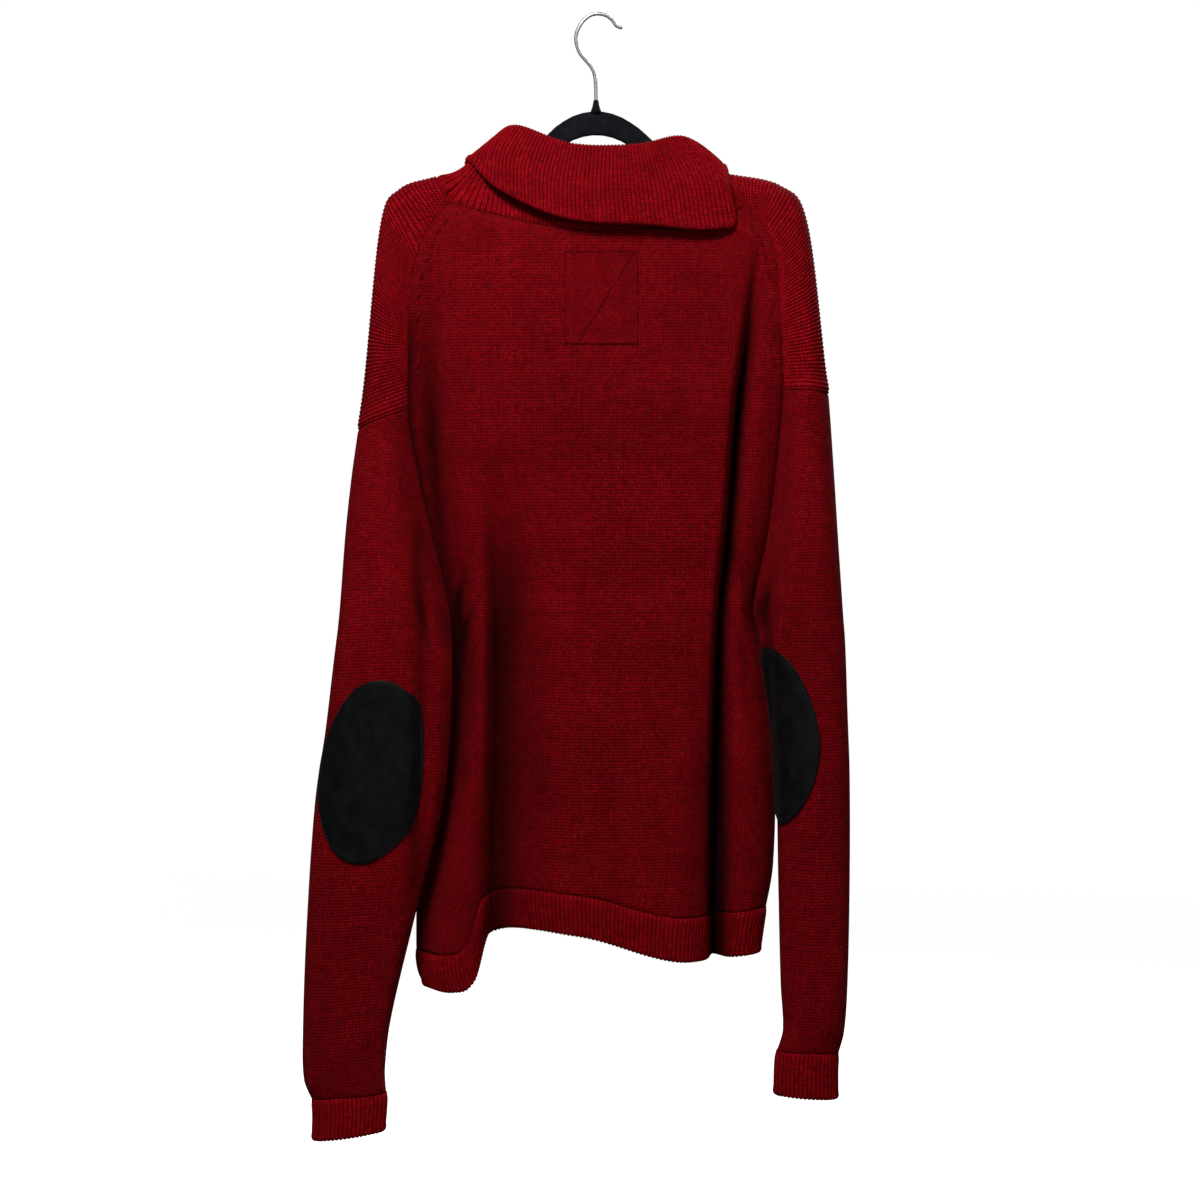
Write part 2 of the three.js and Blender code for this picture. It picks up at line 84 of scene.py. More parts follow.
# Each row of a sleeve: how far down (v), the section's outer and inner edges as (x, z), the
# middle's y, half its depth, how far round it the cloth goes in degrees, and the seam's
# place as (x, z) with its y at the back and front.
LEFT_SLEEVE = (
    (0.00, (-147, -150), (-127, -188), 0, 13, 78, (-134, -175), (-13, 13)),
    (0.12, (-179, -161), (-140, -218), 0, 20, 78, (-153, -199), (-20, 20)),
    (0.26, (-196, -192), (-155, -272), 0, 28, 80, (-168, -248), (-29, 27)),
    (0.42, (-211, -338), (-166, -326), -3, 32, 95, (-171, -326), (-28, 28)),
    (0.50, (-217, -381), (-166, -361), -4, 34, 108, (-171, -362), (-24, 27)),
    (0.65, (-223, -427), (-165, -418), -9, 35, 125, (-163, -417), (-11, 22)),
    (0.80, (-228, -478), (-160, -472), -14, 36, 135, (-151, -471), (-5, 16)),
    (1.00, (-233, -551), (-142, -549), -21, 33, 142, (-134, -549), (3, 7)),
    (1.15, (-238, -596), (-131, -594), -25, 29, 150, (-131, -594), (-22, -19)),
    (1.30, (-245, -655), (-132, -655), -25, 28, 152, (-133, -655), (-24, -21)),
    (1.50, (-255, -724), (-139, -722), -24, 29, 154, (-140, -722), (-23, -20)),
    (1.75, (-263, -842), (-168, -836), -22, 28, 156, (-168, -836), (-21, -18)),
    (1.90, (-266, -934), (-188, -922), -23, 26, 158, (-188, -922), (-23, -20)),
    (1.97, (-265, -975), (-193, -966), -22, 23, 160, (-193, -966), (-23, -20)),
    (2.00, (-258, -992), (-191, -986), -22, 19, 160, (-192, -986), (-23, -20)),
    (3.00, (-257, -1028), (-193, -1019), -21, 19, 160, (-194, -1019), (-22, -19)),
)
RIGHT_SLEEVE = (
    (0.00, (118, -147), (142, -196), 0, 13, 78, (134, -180), (-13, 13)),
    (0.12, (168, -158), (146, -208), 0, 20, 78, (151, -193), (-20, 20)),
    (0.26, (192, -190), (160, -244), 0, 28, 80, (164, -228), (-28, 27)),
    (0.42, (209, -326), (168, -328), -3, 32, 95, (170, -327), (-30, 28)),
    (0.50, (212, -348), (167, -345), -5, 35, 108, (170, -346), (-26, 27)),
    (0.65, (217, -425), (166, -420), -10, 36, 125, (164, -421), (-11, 22)),
    (0.80, (220, -478), (164, -474), -14, 37, 135, (157, -474), (-5, 17)),
    (1.00, (224, -547), (153, -543), -21, 35, 142, (144, -543), (3, 7)),
    (1.15, (226, -580), (150, -576), -25, 31, 150, (150, -576), (-22, -19)),
    (1.30, (228, -640), (161, -639), -25, 31, 152, (161, -639), (-24, -21)),
    (1.50, (230, -700), (165, -700), -24, 33, 154, (165, -700), (-23, -20)),
    (1.75, (230, -800), (166, -800), -23, 31, 156, (167, -800), (-22, -19)),
    (1.90, (228, -890), (169, -888), -23, 27, 158, (169, -888), (-23, -20)),
    (1.97, (225, -932), (171, -930), -22, 23, 160, (171, -930), (-23, -20)),
    (2.00, (220, -950), (165, -948), -22, 19, 160, (166, -948), (-23, -20)),
    (3.00, (219, -990), (163, -986), -20, 19, 160, (164, -986), (-21, -18)),
)
SLEEVE_SHARES = np.array((-0.9, -0.6, -0.3, 0.0, 0.3, 0.6, 0.9))

# The body's side seams below the underarm: v, then (x, y, z) at the left and the right.
BODY_SIDES = (
    (1.0, (-134, 5, -549), (144, 5, -543)),
    (1.2, (-148, 25, -610), (159, 20, -604)),
    (1.5, (-162, 23, -700), (165, 18, -690)),
    (1.8, (-165, 16, -800), (163, 14, -780)),
    (2.0, (-165, 10, -862), (156, 10, -820)),
    (3.0, (-158, 9, -893), (150, 10, -860)),
)
# How far the back and front stand out past the side seams: (v, back, front).
CROWN = (
    (0.0, 18, 22), (0.3, 9, 16), (0.6, 26, 26), (1.0, 46, 44), (1.1, 60, 33),
    (1.2, 66, 28), (1.5, 65, 28), (2.0, 54, 32), (3.0, 51, 32),
)
NECK_DIP = {"back": 24, "front": 78}
# How far the hem rises above the line between the side seams: (across, lift).
HEM_LIFT = ((0.0, 2), (0.09, -3), (0.15, 5), (0.19, 45), (0.45, 38), (0.75, 4), (1.0, 0))
# Deep folds: a line of (x, z) points down the cloth, its left and right slopes, its depth.
FOLDS = {
    "back": (
        (((-152, -250), (-149, -400), (-140, -500), (-128, -575), (-132, -680), (-143, -750),
          (-160, -830), (-166, -900)), (16, 13), 38),
        (((-92, -440), (-91, -640), (-94, -760), (-97, -900)), (9, 36), 40),
        (((148, -215), (136, -310), (129, -366), (122, -462), (112, -571), (107, -900)),
         (5, 10), 48),
        (((112, -590), (109, -700), (111, -900)), (25, 24), 26),
        (((18, -480), (22, -700), (16, -900)), (30, 30), 6),
    ),
    "front": (
        (((-70, -420), (-66, -640), (-72, -900)), (22, 22), 18),
        (((72, -440), (68, -640), (76, -900)), (22, 22), 18),
    ),
}
FOLD_FADE = 150
# A fold whose line reaches this far down runs on into the hem.
FOLDS_MEET_HEM = 880
# A fold or a crease this deep is painted fully dark at its bottom.
DARK_DEPTH = 42
DARK_CREASE = 12
# Where the sleeves meet the body under the arms, as (x, z), and how far the painted shade spreads.
UNDERARMS = ((-131, -556), (147, -545))
UNDERARM_SPREAD = (13, 26)
# The painted shade along an armhole: its width in metres with its top and bottom heights,
# and how dark it is on each side.
BODY_ARMHOLE = (0.009, -280, -560)
SLEEVE_ARMHOLE = (0.005, -300, -580)
BODY_SHADE = {"left": 0.95, "right": 0.4}
SLEEVE_SHADE = {"left": 0.85, "right": 0.5}
# Shallow creases that lie over the deep ones, in the same form.
CREASES = {
    "back": (
        (((-40, -560), (-46, -700), (-38, -900)), (16, 22), 3.0),
        (((66, -600), (58, -740), (62, -900)), (20, 14), 3.5),
        (((-118, -470), (-112, -620), (-120, -760)), (9, 12), 3.0),
        (((84, -330), (92, -480), (86, -640)), (12, 12), 1.8),
        (((-60, -300), (-70, -430), (-66, -560)), (18, 18), 1.6),
        (((-112, -490), (-126, -540), (-131, -572)), (4, 6), 7.0),
        (((-100, -520), (-118, -562), (-126, -590)), (4, 5), 5.0),
        (((124, -478), (135, -520), (141, -560)), (6, 4), 7.0),
        (((114, -530), (127, -560), (138, -600)), (5, 4), 5.0),
    ),
    "front": (
        (((0, -420), (6, -640), (-4, -900)), (20, 26), 4.0),
        (((-120, -440), (-112, -660), (-116, -880)), (14, 16), 4.0),
        (((122, -440), (112, -660), (118, -880)), (14, 16), 4.0),
    ),
}
SLEEVE_CREASES = {
    "left": (
        (((-168, -430), (-161, -520), (-159, -620), (-160, -700), (-166, -800)), (6, 10), 8.0),
        (((-160, -466), (-147, -510), (-136, -556)), (4, 6), 5.5),
        (((-176, -490), (-162, -540), (-146, -590)), (5, 6), 3.5),
        (((-205, -800), (-222, -900), (-232, -975)), (12, 12), 2.2),
    ),
    "right": (
        (((156, -500), (158, -570), (161, -640)), (9, 5), 9.0),
        (((180, -462), (166, -508), (154, -552)), (6, 4), 5.0),
        (((196, -420), (190, -520), (196, -600)), (10, 10), 2.4),
        (((196, -800), (202, -880), (192, -940)), (10, 10), 2.0),
    ),
}

# The collar's rings from the neck seam to its free edge, each (x, y, z) all the way round
# from the right side by the front, left and back.
COLLAR_RINGS = (
    ((110, 0, -139), (96, 24, -156), (44, 29, -190), (-40, 29, -190), (-106, 20, -160),
     (-124, 0, -143), (-96, -18, -152), (-34, -27, -174), (44, -27, -176), (100, -20, -162)),
    ((106, 0, -133), (94, 13, -142), (40, 19, -158), (-36, 18, -154), (-72, 12, -130),
     (-87, 0, -113), (-71, -13, -105), (-22, -23, -123), (36, -24, -124), (79, -20, -116)),
    ((113, 0, -136), (106, 30, -160), (44, 38, -188), (-40, 36, -182), (-92, 24, -146),
     (-104, 0, -123), (-86, -26, -130), (-28, -37, -158), (40, -38, -160), (106, -33, -150)),
    ((118, 0, -140), (112, 36, -186), (46, 47, -222), (-44, 45, -212), (-108, 30, -168),
     (-117, 0, -132), (-88, -34, -163), (-28, -43, -190), (44, -44, -196), (115, -38, -196)),
)
SADDLE_SHARE = 0.06
# The flap's crisp lower corner at the right: its share of the way round, reach and pull.
CORNER_SHARE = 0.918
CORNER_REACH = 0.02
CORNER_PULL = (5, 0, -6)

# Elbow patches: middle and half size in the sleeve's own u (round) and v (down), and how
# far a patch's top and bottom are drawn towards the sleeve's inner edge.
PATCHES = {
    "left": (0.308, 1.405, 0.157, 0.215, 0.028),
    "right": (0.088, 1.385, 0.192, 0.225, 0.0),
}

# The darn on the back: its sides and the two ends of its slanting line, as x and z.
DARN_SIDES = (-28, 38)
DARN_HEIGHTS = (-306, -222)
DARN_SLANT = ((34, -224), (-15, -303))

# The hook's route as (x, z), from inside the hanger to its tip.
HOOK_ROUTE = ((0, -92), (0, -79), (-2, -52), (-15, -34), (-18.5, -20), (-14.5, -8.5),
              (-7.5, -1), (0, 1.7), (8.5, 0.5), (15, -4), (18.5, -9), (23, -11))
WIRE_RADIUS = 1.7
# The cone that the hook is set in, as (radius, z).
FERRULE = ((0.0, -90), (5.2, -90), (4.4, -86.5), (3.4, -84), (2.6, -80), (2.4, -78), (0.0, -78))

# The shaping marks: the first and last v, how many, how far in from the seam, and how far a
# mark runs across and between its first and last heights under the seam's.
MARKS_V = (0.06, 0.4)
MARKS_COUNT = 9
MARKS_INSET = 9.5
MARK_SLANT = 3.5
MARK_HEIGHTS = (-3, -11)

# Stitches and threads: radii, the darn's thread spacing, its stitches' spacing and length,
# and how much of each step round a patch its stitch takes.
MARK_RADIUS = 1.9
DARN_RADIUS = 0.55
PATCH_RADIUS = 0.42
DARN_PITCH = 1.9
DARN_STEP = 3.0
DARN_STITCH = 2.0
PATCH_STITCH_SHARE = 0.62

# How finely each sheet is divided: rows, columns, or both as (rows, columns).
BODY_GRID = {"back": (168, 232), "front": (130, 130)}
SLEEVE_GRID = (176, 104)
SADDLE_COLUMNS = 44
HEM_ROWS = 14
CUFF_ROWS = 16
COLLAR_ROWS = 42
PATCH_LINES = 71
DARN_SAMPLES = 3
RIB_COLUMNS = 6
RIDGE_ROWS = 5
RIM_STEPS = 4
# How dark the painted shade is in the grooves between ribs and between ridges, from 0 to 1.
RIB_SHADE = 0.25
RIDGE_SHADE = 0.65
# The height at which the body's rows of stitches lie level.
ROWS_LEVEL = -400

# Where the nap is rubbed pale on the suede and the flock, and the paler patches of the thread.
SUEDE_WORN = (0.0075, 0.008, 0.009, 1.0)
THREAD_WORN = (0.03, 0.03, 0.034, 1.0)
FLOCK_WORN = (0.016, 0.018, 0.022, 1.0)
SHEEN_RED = (0.9, 0.1, 0.12, 1.0)
SHEEN_GREY = (0.6, 0.65, 0.75, 1.0)

# The stage, in metres: how far the floor lies under the cuffs, where it starts to curve up,
# where its wall stands and how high that is.
FLOOR_DROP = 0.22
FLOOR_FLAT = 3.6
FLOOR_WALL = 4.6
WALL_HEIGHT = 5.0
BEND_STEPS = 8
SKY_STRENGTH = 0.11
CAMERA_ACROSS = 0.0037
# Each lamp: its name, its place, what it is aimed at, its size and its power in watts.
LAMPS = (
    ("key_light", (-0.35, -1.3, 0.95), (0.0, 0.0, -0.35), 0.5, 34.0),
    ("fill_light", (0.9, -2.2, -0.1), (0.0, 0.0, -0.5), 1.2, 7.0),
    ("front_light", (0.7, 1.5, 0.8), (0.0, 0.0, -0.4), 0.9, 34.0),
)


# ---------------------------------------------------------------------------
# Settings a user may change
# ---------------------------------------------------------------------------

def length(name, description, default):
    return FloatProperty(name=name, description=description, default=default, min=0.0,
                         unit="LENGTH", subtype="DISTANCE")


def colour(name, description, default):
    return FloatVectorProperty(name=name, description=description, default=default, min=0.0,
                               max=1.0, size=4, subtype="COLOR")


class SweaterKnit(bpy.types.PropertyGroup):
    """The yarn and the stitches."""
    cloth: length("Cloth thickness", "Thickness of the knitted cloth", 0.0026)
    wale: length("Wale width", "Width of one column of stitches", 0.0030)
    course: length("Course height", "Height of one row of stitches", 0.0028)
    rib: length("Rib pitch", "Distance from one rib to the next", 0.0038)
    rib_relief: length("Rib relief", "How far a rib stands up", 0.0011)
    ridge: length("Ridge pitch", "Distance between the saddles' ridges", 0.0039)
    ridge_relief: length("Ridge relief", "How far a saddle's ridge stands up", 0.0013)
    wool: colour("Wool", "Main colour of the yarn", (0.36, 0.0018, 0.0070, 1.0))
    # The colour between the stitches is painted shade, deep where the yarn lies in its own shadow.
    shade: colour("Wool between stitches", "Colour deep between the stitches",
                  (0.016, 0.0001, 0.0004, 1.0))
    fleck: colour("Wool flecks", "Lighter fibres in the yarn", (0.62, 0.02, 0.032, 1.0))


class SweaterPatches(bpy.types.PropertyGroup):
    """The elbow patches."""
    leather: length("Patch thickness", "Thickness of the suede", 0.0014)
    stitch: length("Stitch spacing", "Distance between the patches' stitches", 0.0042)
    suede: colour("Suede", "Main colour of the patches", (0.0017, 0.0018, 0.0022, 1.0))
    thread: colour("Thread", "Colour of the sewing thread", (0.012, 0.012, 0.014, 1.0))


class SweaterHanger(bpy.types.PropertyGroup):
    """The hanger and its hook."""
    edge: length("Edge rounding", "How far the hanger's edges are rounded", 0.0022)
    flock: colour("Flock", "Colour of the hanger's flocked cover", (0.0045, 0.005, 0.0065, 1.0))
    chrome: colour("Chrome", "Colour of the hook", (0.50, 0.51, 0.53, 1.0))


class SweaterStage(bpy.types.PropertyGroup):
    """The camera, the lights and the floor."""
    distance: length("Camera distance", "From the camera to the hanger", 2.6)
    width: length("View width", "What the camera sees across at the hanger", 1.104)
    centre: length("View height", "How far below the hook the view is centred", 0.5376)
    floor: colour("Floor", "Colour of the floor and backdrop", (0.86, 0.86, 0.86, 1.0))


# ---------------------------------------------------------------------------
# Curves and surfaces of the cloth
# ---------------------------------------------------------------------------

def mix(a, b, t):
    """The value a share t of the way from a to b."""
    return a + (b - a) * t


def bell(distance, width):
    """1 at no distance, falling smoothly to nearly 0 at twice the width."""
    return np.exp(-((distance / width) ** 2))


def smoothstep(x, low, high):
    """0 below low and 1 above high, with a smooth rise between."""
    t = np.clip((np.asarray(x, float) - low) / (high - low), 0, 1)
    return t * t * (3 - 2 * t)


def along(places, values, v):
    """Smooth values at v, through a table's places by a cubic with central slopes."""
    places = np.asarray(places, float)
    values = np.asarray(values, float)
    last = len(places) - 1
    i = np.clip(np.searchsorted(places, v, side="right") - 1, 0, last - 1)
    lower = np.maximum(np.arange(last + 1) - 1, 0)
    upper = np.minimum(np.arange(last + 1) + 1, last)
    spare = (1,) * (values.ndim - 1)
    runs = (places[upper] - places[lower]).reshape(-1, *spare)
    slopes = (values[upper] - values[lower]) / runs
    step = (places[i + 1] - places[i]).reshape(-1, *spare)
    t = np.clip((v - places[i]).reshape(-1, *spare) / step, 0, 1)
    rise = (1 - t) ** 2 * t * slopes[i] * step
    fall = (1 - t) * t ** 2 * slopes[i + 1] * step
    return mix(values[i], values[i + 1], t * t * (3 - 2 * t)) + rise - fall


def smooth_line(knots, t, closed=False):
    """Points at each t of a smooth curve. knots is (count, 3), or (count, len(t), 3)."""
    knots = np.asarray(knots, float)
    if knots.ndim == 2:
        knots = np.repeat(knots[:, None, :], len(t), axis=1)
    count = len(knots)
    sample = np.arange(len(t))
    if closed:
        place = (t % 1.0) * count
        first = np.floor(place).astype(int)
        a, b, c, d = (knots[(first + k) % count, sample] for k in (-1, 0, 1, 2))
    else:
        before = 2 * knots[:1] - knots[1:2]
        after = 2 * knots[-1:] - knots[-2:-1]
        padded = np.concatenate([before, knots, after])
        place = np.clip(t, 0, 1) * (count - 1)
        first = np.minimum(np.floor(place).astype(int), count - 2)
        a, b, c, d = (padded[first + k, sample] for k in range(4))
    w = (place - first)[:, None]
    start = 0.5 * (c - a)
    end = 0.5 * (d - b)
    curve = (2 * b - 2 * c + start + end) * w ** 3
    curve += (-3 * b + 3 * c - 2 * start - end) * w ** 2
    return curve + start * w + b


def fold_depth(folds, x, z, fade=FOLD_FADE):
    """How deep the cloth lies at (x, z) in a list of folds, in millimetres."""
    total = np.zeros_like(x)
    for line, widths, depth in folds:
        places = np.array([-point[1] for point in line], float)
        middles = np.array([point[0] for point in line], float)
        centre = along(places, middles, np.clip(-z, places[0], places[-1]))
        shown = smoothstep(-z, places[0] - fade / 3, places[0] + fade)
        if places[-1] < FOLDS_MEET_HEM:
            shown = shown * (1 - smoothstep(-z, places[-1] - 8, places[-1] + 32))
        width = np.where(x < centre, widths[0], widths[1])
        total += depth * shown * bell(x - centre, width)
    return total


def ripple(x, z, seed):
    """Small uneven waves, from -1 to 1, as in cloth that has been folded and worn."""
    total = np.zeros_like(x)
    for i in range(7):
        turn = seed * 1.7 + i * 2.399
        across = math.cos(turn) / (38 + 11 * i)
        down = math.sin(turn) / (70 + 19 * i)
        total += np.sin(2 * math.pi * (x * across + z * down) + turn * 3.1)
    return total / 7


SLEEVES = {"left": LEFT_SLEEVE, "right": RIGHT_SLEEVE}
# Which way round each sheet's grid runs, so that its normals point out of the garment.
OUTWARD = {"back": -1, "front": 1, "left": 1, "right": -1}


def sleeve_at(side, u, v):
    """Points of a sleeve: u goes from its back seam round the outer edge to its front seam."""
    table = SLEEVES[side]
    places = [row[0] for row in table]
    numbers = [(*row[1], *row[2], row[3], row[4], row[5], *row[6], *row[7]) for row in table]
    at = along(places, numbers, v).T
    outer_x, outer_z, inner_x, inner_z, middle, depth, turn, seam_x, seam_z, back, front = at
    angle = np.radians(turn) * SLEEVE_SHARES[:, None]
    across = (1 - np.cos(angle)) / 2
    section = np.stack([
        mix(outer_x, inner_x, across),
        middle + depth * np.sin(angle),
        mix(outer_z, inner_z, across),
    ], axis=2)
    start = np.stack([seam_x, back, seam_z], axis=1)[None]
    end = np.stack([seam_x, front, seam_z], axis=1)[None]
    knots = np.concatenate([start, section, end])
    return smooth_line(knots, np.where(u < 0, u + 1, u)) * MM


def body_at(face, u, v):
    """Points of the body's back or front: u goes from its left side to its right."""
    seam_u = np.full_like(v, 0.0 if face == "back" else 1.0)
    places = [row[0] for row in BODY_SIDES]
    edges = []
    for index, side in ((1, "left"), (2, "right")):
        upper = sleeve_at(side, seam_u, np.minimum(v, UNDERARM)) / MM
        lower = along(places, [row[index] for row in BODY_SIDES], np.maximum(v, UNDERARM))
        jump = sleeve_at(side, seam_u[:1], np.ones(1)) / MM - BODY_SIDES[0][index]
        lower = lower + jump * (1 - smoothstep(v, 1.0, 1.15))[:, None]
        edges.append(np.where((v <= UNDERARM)[:, None], upper, lower))
    point = mix(edges[0], edges[1], u[:, None])
    span = np.abs(2 * u - 1)
    column = 1 if face == "back" else 2
    crown = along([row[0] for row in CROWN], [row[column] for row in CROWN], v)
    crown = crown * (1 - span ** 4) ** 0.6
    point[:, 2] -= NECK_DIP[face] * np.maximum(0, 1 - v) ** 2 * np.sin(math.pi * u)
    lift = along([row[0] for row in HEM_LIFT], [row[1] for row in HEM_LIFT], u)
    point[:, 2] += smoothstep(v, UNDERARM, RIB_TOP) * lift
    edge_ease = 1 - span ** 6
    x = point[:, 0]
    z = point[:, 2]
    depth = fold_depth(FOLDS[face], x, z) + fold_depth(CREASES[face], x, z, 90)
    depth += 1.3 * ripple(x, z, 1.0 if face == "back" else 4.0) * smoothstep(-z, 180, 420)
    outward = -1 if face == "back" else 1
    point[:, 1] += outward * (crown - edge_ease * depth)
    return point * MM


def even_steps(points_at, count):
    """count + 1 values from 0 to 1 that divide a curve into equal lengths."""
    fine = np.linspace(0, 1, 1500)
    points = points_at(fine)
    run = np.concatenate([[0], np.cumsum(np.linalg.norm(np.diff(points, axis=0), axis=1))])
    return np.interp(np.linspace(0, run[-1], count + 1), run, fine), run[-1]


# ---------------------------------------------------------------------------
# Sheets of cloth
# ---------------------------------------------------------------------------

class Cloth:
    """A grid of points on the middle of a sheet: rows run down it, columns across it."""

    def __init__(self, points, outward, closed=False):
        self.points = points
        self.closed = closed
        self.normals = self.make_normals(outward)
        across = np.linalg.norm(np.diff(points, axis=1), axis=2)
        down = np.linalg.norm(np.diff(points, axis=0), axis=2)
        zero_column = np.zeros((len(points), 1))
        self.across = np.concatenate([zero_column, np.cumsum(across, axis=1)], axis=1)
        zero_row = np.zeros((1, points.shape[1]))
        self.down = np.concatenate([zero_row, np.cumsum(down, axis=0)])

    def make_normals(self, outward):
        points = self.points
        if self.closed:
            across = np.roll(points, -1, axis=1) - np.roll(points, 1, axis=1)
        else:
            across = np.gradient(points, axis=1)
        below = np.gradient(points, axis=0)
        normals = np.cross(across, below) * outward
        return normals / np.maximum(np.linalg.norm(normals, axis=2, keepdims=True), 1e-12)

    def area(self):
        """Area of the sheet's middle surface."""
        p = self.points
        if self.closed:
            p = np.concatenate([p, p[:, :1]], axis=1)
        diagonals = np.cross(p[1:, 1:] - p[:-1, :-1], p[1:, :-1] - p[:-1, 1:])
        return float(np.linalg.norm(diagonals, axis=2).sum() / 2)

    def width(self):
        """Length round or across the sheet at its widest row."""
        if self.closed:
            closing = np.linalg.norm(self.points[:, 0] - self.points[:, -1], axis=1)
            return float((self.across[:, -1] + closing).max())
        return float(self.across[:, -1].max())

    def length(self):
        """Length of the sheet down its longest column."""
        return float(self.down[-1].max())


def edge_distance(cloth, sides=("top", "bottom", "left", "right")):
    """Distance of each point from the nearest named edge of a sheet."""
    reach = np.full(cloth.points.shape[:2], 1.0)
    if "top" in sides:
        reach = np.minimum(reach, cloth.down)
    if "bottom" in sides:
        reach = np.minimum(reach, cloth.down[-1:] - cloth.down)
    if "left" in sides:
        reach = np.minimum(reach, cloth.across)
    if "right" in sides:
        reach = np.minimum(reach, cloth.across[:, -1:] - cloth.across)
    return reach


def seam_half(cloth, half, sides):
    """Half the cloth's thickness, drawn in to a groove along its sewn edges."""
    return half * (1 - 0.62 * bell(edge_distance(cloth, sides), 0.0022))


def rib_wave(phase):
    """Height of ribs or ridges, 0 in a groove and 1 on a crest, at whole phases."""
    return np.abs(np.cos(math.pi * phase)) ** 0.65


def shell(name, cloth, half, uv, rims=("top", "bottom"), painted_shade=0.0):
    """A closed mesh of a sheet. half is half its thickness, uv its places in metres, and
    the last argument how dark the painted shade is at each place, from 0 to 1."""
    points, normals = cloth.points, cloth.normals
    rows, columns = points.shape[:2]
    half = np.broadcast_to(half, (rows, columns))[..., None]
    uv = np.dstack([uv, np.broadcast_to(painted_shade, (rows, columns))])
    loop = [points[r] + normals[r] * half[r] for r in range(rows)]
    loop_uv = [uv[r] for r in range(rows)]
    ends = {"bottom": (rows - 1, rows - 2), "top": (0, 1)}

    def add_rim(end, direction):
        edge, before = ends[end]
        out = points[edge] - points[before]
        out /= np.maximum(np.linalg.norm(out, axis=1, keepdims=True), 1e-12)
        for step in range(1, RIM_STEPS):
            angle = math.pi * step / RIM_STEPS
            lift = normals[edge] * math.cos(angle) * direction
            reach = math.sin(angle) if end in rims else 0.0
            loop.append(points[edge] + half[edge] * (lift + out * reach))
            loop_uv.append(uv[edge])

    add_rim("bottom", 1)
    for r in range(rows - 1, -1, -1):
        loop.append(points[r] - normals[r] * half[r])
        loop_uv.append(uv[r])
    add_rim("top", -1)
    places = np.array(loop)
    flat = np.array(loop_uv)
    # The last row meets the first, and on a tube the last column does too.
    places = np.concatenate([places, places[:1]])
    flat = np.concatenate([flat, flat[:1]])
    if cloth.closed:
        closing = flat[:, -1:] + (flat[:, -1:] - flat[:, -2:-1])
        places = np.concatenate([places, places[:, :1]], axis=1)
        flat = np.concatenate([flat, closing], axis=1)
    return grid_mesh(name, places, flat, 0 if cloth.closed else rows)


def grid_mesh(name, places, flat, capped_rows):
    """A mesh of a looped grid, welded along its joins, with its two open sides capped."""
    rows, columns = places.shape[:2]
    bm = bmesh.new()
    bmesh.ops.create_grid(bm, x_segments=columns - 1, y_segments=rows - 1, size=1.0)
    bm.verts.ensure_lookup_table()
    if capped_rows:
        rim = RIM_STEPS - 1
        for column in (0, columns - 1):
            for r in range(capped_rows - 1):
                inner = 2 * capped_rows + rim - 1 - r
                corners = [r, r + 1, inner - 1, inner]
                bm.faces.new([bm.verts[row * columns + column] for row in corners])
            ends = (
                range(capped_rows - 1, capped_rows + rim + 1),
                [*range(2 * capped_rows + rim - 1, rows)],
            )
            for chain in ends:
                bm.faces.new([bm.verts[row * columns + column] for row in chain])
    mesh = bpy.data.meshes.new(name)
    bm.to_mesh(mesh)
    bm.free()
    mesh.vertices.foreach_set("co", places.reshape(-1).astype(np.float32))
    # The painted shade at each point is kept in an attribute that darkens the wool's colour.
    folds = mesh.attributes.new("painted_shade", "FLOAT", "POINT")
    folds.data.foreach_set("value", flat[..., 2].reshape(-1).astype(np.float32))
    flat = flat[..., :2]
    layer = mesh.uv_layers.new(name="cloth")
    corner_vertex = np.empty(len(mesh.loops), dtype=np.int32)
    mesh.loops.foreach_get("vertex_index", corner_vertex)
    layer.data.foreach_set("uv", flat.reshape(-1, 2)[corner_vertex].reshape(-1).astype(np.float32))
    bm = bmesh.new()
    bm.from_mesh(mesh)
    bmesh.ops.remove_doubles(bm, verts=bm.verts, dist=1e-7)
    bmesh.ops.recalc_face_normals(bm, faces=bm.faces)
    bm.to_mesh(mesh)
    bm.free()
    mesh.shade_smooth()
    return mesh


def finished_mesh(name, bm):
    """A smooth-shaded mesh of what a bmesh holds, which is then freed."""
    mesh = bpy.data.meshes.new(name)
    bm.to_mesh(mesh)
    bm.free()
    mesh.shade_smooth()
    return mesh


def spun_mesh(name, profile, steps, close):
    """A profile of (radius, z) in metres, spun once round the upright axis."""
    bm = bmesh.new()
    line = [bm.verts.new((x, 0.0, z)) for x, z in profile]
    edges = [bm.edges.new(pair) for pair in zip(line, line[1:])]
    bmesh.ops.spin(bm, geom=line + edges, axis=(0, 0, 1), cent=(0, 0, 0), steps=steps,
                   angle=2 * math.pi, use_merge=True)
    bmesh.ops.remove_doubles(bm, verts=bm.verts, dist=1e-6)
    if close:
        bmesh.ops.recalc_face_normals(bm, faces=bm.faces)
    return finished_mesh(name, bm)


def place(name, mesh, material, slot, *replaced):
    """Puts a mesh in the scene as a piece of the sweater that rides with its one body."""
    piece = bpy.data.objects.new(name, mesh)
    bpy.context.scene.collection.objects.link(piece)
    piece.data.materials.append(material)
    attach(piece, ROOT)
    if replaced:
        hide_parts(*replaced)
    return piece


def declare_cloth(cloth, width=None):
    """Works out a piece's flat size, as wide as its widest row or as width, and its area; neither
    is kept or used.
    """
    size = (width or cloth.width(), cloth.length())
    cloth.area()


# ---------------------------------------------------------------------------
# Materials
# ---------------------------------------------------------------------------

